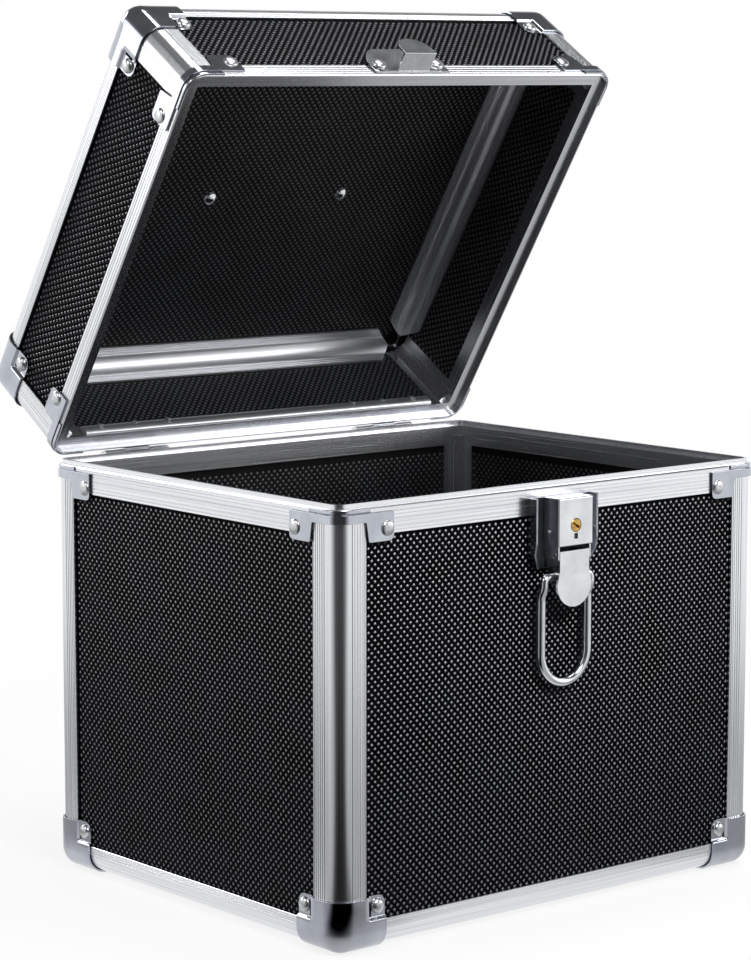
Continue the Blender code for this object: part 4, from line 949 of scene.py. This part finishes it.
# Stage: a pale floor that fades out into the white background, a camera at the photograph's angle, soft
# lamps
stage = {
    "floorRadius": 3.0, "fadeStart": 0.5, "fadeEnd": 1.3, "shadowShare": 0.2,
    "brightTo": 0.2, "dimFrom": 0.3, "dim": 0.45, "flagStart": 0.9, "flagEnd": 0.97, "bright": 0.9,
    "cameraPlace": (-1.26830, -1.51326, 0.51091), "azimuth": 39.878, "pitch": 7.626, "focal": 3095,
    "shiftRight": 2.5, "shiftUp": 1.5, "height": 960, "sensor": 36.0,
}
turns = np.linspace(0, 2 * np.pi, 97)[:-1]
radii = np.array([0.0001, 0.4, 0.9, 1.6, stage["floorRadius"]])[:, None]
disc = np.stack([radii * np.cos(turns), radii * np.sin(turns), 0 * radii * turns - 0.2 * mm], -1)
floorMesh = gridMesh("floor", disc)
floorMaterial, tree, shader = newMaterial("pale studio floor")
output = tree.nodes["Material Output"]
place = addNode(tree, "ShaderNodeTexCoord")
distance = addNode(tree, "ShaderNodeVectorMath", {0: place.outputs["Object"]}, operation="LENGTH")
fade = addNode(tree, "ShaderNodeMapRange", {
    "Value": distance.outputs["Value"], "From Min": stage["fadeStart"], "From Max": stage["fadeEnd"]},
    interpolation_type="SMOOTHSTEP")
shader.inputs["Base Color"].default_value = linearColour("#f2f2f2")
shader.inputs["Roughness"].default_value = 0.9
path = addNode(tree, "ShaderNodeLightPath")
near = addNode(tree, "ShaderNodeMapRange", {
    "Value": distance.outputs["Value"], "From Min": stage["brightTo"], "From Max": stage["dimFrom"],
    "To Min": stage["bright"]}, interpolation_type="SMOOTHSTEP")
azimuth = math.radians(stage["azimuth"])
bearing = addNode(tree, "ShaderNodeVectorMath", {0: place.outputs["Object"]}, operation="NORMALIZE")
toward = addNode(tree, "ShaderNodeVectorMath",
                 {0: bearing.outputs[0], 1: (-math.sin(azimuth), -math.cos(azimuth), 0)},
                 operation="DOT_PRODUCT")
flag = addNode(tree, "ShaderNodeMapRange", {
    "Value": toward.outputs["Value"], "From Min": stage["flagStart"], "From Max": stage["flagEnd"],
    "To Min": stage["dim"], "To Max": 0.0}, interpolation_type="SMOOTHSTEP")
tree.links.new(flag.outputs["Result"], near.inputs["To Max"])
bright = addNode(tree, "ShaderNodeMix", {"Factor": path.outputs["Is Camera Ray"], 2: near.outputs["Result"],
                                         3: 1.0}, data_type="FLOAT")
glow = addNode(tree, "ShaderNodeEmission", {"Color": (1, 1, 1, 1), "Strength": bright.outputs[0]})
seen = addNode(tree, "ShaderNodeMath", {0: path.outputs["Is Camera Ray"], 1: 1 - stage["shadowShare"]},
               operation="MULTIPLY")
share = addNode(tree, "ShaderNodeMath", {0: seen.outputs[0], 1: path.outputs["Is Glossy Ray"]},
                operation="MAXIMUM")
mixed = addNode(tree, "ShaderNodeMixShader",
                {"Fac": share.outputs[0], 1: shader.outputs[0], 2: glow.outputs[0]})
clear = addNode(tree, "ShaderNodeBsdfTransparent")
faded = addNode(tree, "ShaderNodeMixShader",
                {"Fac": fade.outputs["Result"], 1: mixed.outputs[0], 2: clear.outputs[0]})
tree.links.new(faded.outputs[0], output.inputs["Surface"])
floorMesh.materials.append(floorMaterial)
floorPiece = bpy.data.objects.new("studio_floor", floorMesh)
bpy.context.scene.collection.objects.link(floorPiece)

# World: white to the camera; to reflections a studio that is dark towards the camera and bright to the sides
world = bpy.data.worlds.new("studio")
bpy.context.scene.world = world
world.use_nodes = True
tree = world.node_tree
background = tree.nodes["Background"]
sky = {"darkStart": 0.55, "darkEnd": 0.93, "dark": 0.05, "side": 1.0, "up": 0.14, "upStart": 0.15,
       "upEnd": 0.6, "diffuse": 0.35}
direction = addNode(tree, "ShaderNodeTexCoord")
parts = addNode(tree, "ShaderNodeSeparateXYZ", {0: direction.outputs["Generated"]})
level = addNode(tree, "ShaderNodeCombineXYZ", {0: parts.outputs[0], 1: parts.outputs[1]})
flat = addNode(tree, "ShaderNodeVectorMath", {0: level.outputs[0]}, operation="NORMALIZE")
toward = addNode(tree, "ShaderNodeVectorMath",
                 {0: flat.outputs[0], 1: (-math.sin(azimuth), -math.cos(azimuth), 0)},
                 operation="DOT_PRODUCT")
dark = addNode(tree, "ShaderNodeMapRange", {
    "Value": toward.outputs["Value"], "From Min": sky["darkStart"], "From Max": sky["darkEnd"],
    "To Min": sky["side"], "To Max": sky["dark"]}, interpolation_type="SMOOTHSTEP")
upward = addNode(tree, "ShaderNodeMapRange", {
    "Value": parts.outputs[2], "From Min": sky["upStart"], "From Max": sky["upEnd"]},
    interpolation_type="SMOOTHSTEP")
gradient = addNode(tree, "ShaderNodeMix",
                   {"Factor": upward.outputs["Result"], 2: dark.outputs["Result"], 3: sky["up"]},
                   data_type="FLOAT")
path = addNode(tree, "ShaderNodeLightPath")
glossy = addNode(tree, "ShaderNodeMix", {"Factor": path.outputs["Is Glossy Ray"], 2: sky["diffuse"],
                                         3: gradient.outputs[0]}, data_type="FLOAT")
strength = addNode(tree, "ShaderNodeMix",
                   {"Factor": path.outputs["Is Camera Ray"], 2: glossy.outputs[0], 3: 1.0},
                   data_type="FLOAT")
tree.links.new(strength.outputs[0], background.inputs["Strength"])
background.inputs["Color"].default_value = (1, 1, 1, 1)

lamps = {  # place, aim, size in metres, power in watts
    "key_front": ((-0.33, -1.67, 1.8), (0, 0, 0.3), 0.9, 27),
    "key_left": ((-1.8, 0.04, 1.72), (0, 0, 0.3), 0.9, 11),
    "key_rear": ((-0.5, 2.1, 1.46), (-0.1, 0, 0.45), 0.9, 16),
    "fill_right": ((1.7, -1.5, 0.9), (0, 0, 0.25), 1.0, 11),
    "fill_rear_left": ((-1.6, 1.4, 0.9), (0, 0, 0.3), 1.0, 4),
    "top": ((0.66, 0, 2.4), (0, 0, 0.3), 1.0, 22),
}
for name, (spot, aim, size, power) in lamps.items():
    light = bpy.data.lights.new(name, "AREA")
    light.shape, light.size, light.energy = "SQUARE", size, power
    lamp = bpy.data.objects.new(name, light)
    lamp.location = spot
    lamp.visible_camera = False
    lamp.rotation_euler = (Vector(aim) - Vector(spot)).to_track_quat("-Z", "Y").to_euler()
    bpy.context.scene.collection.objects.link(lamp)

camera = bpy.data.cameras.new("camera")
camera.sensor_fit, camera.sensor_height = "VERTICAL", stage["sensor"]
camera.lens = stage["focal"] * stage["sensor"] / stage["height"]
camera.shift_x, camera.shift_y = stage["shiftRight"] / stage["height"], stage["shiftUp"] / stage["height"]
camera.clip_start = 0.05
view = bpy.data.objects.new("camera", camera)
view.location = stage["cameraPlace"]
view.rotation_euler = (math.radians(90 - stage["pitch"]), 0, -math.radians(stage["azimuth"]))
bpy.context.scene.collection.objects.link(view)
bpy.context.scene.camera = view
bpy.context.scene.view_settings.view_transform = "Standard"
print("stage made")
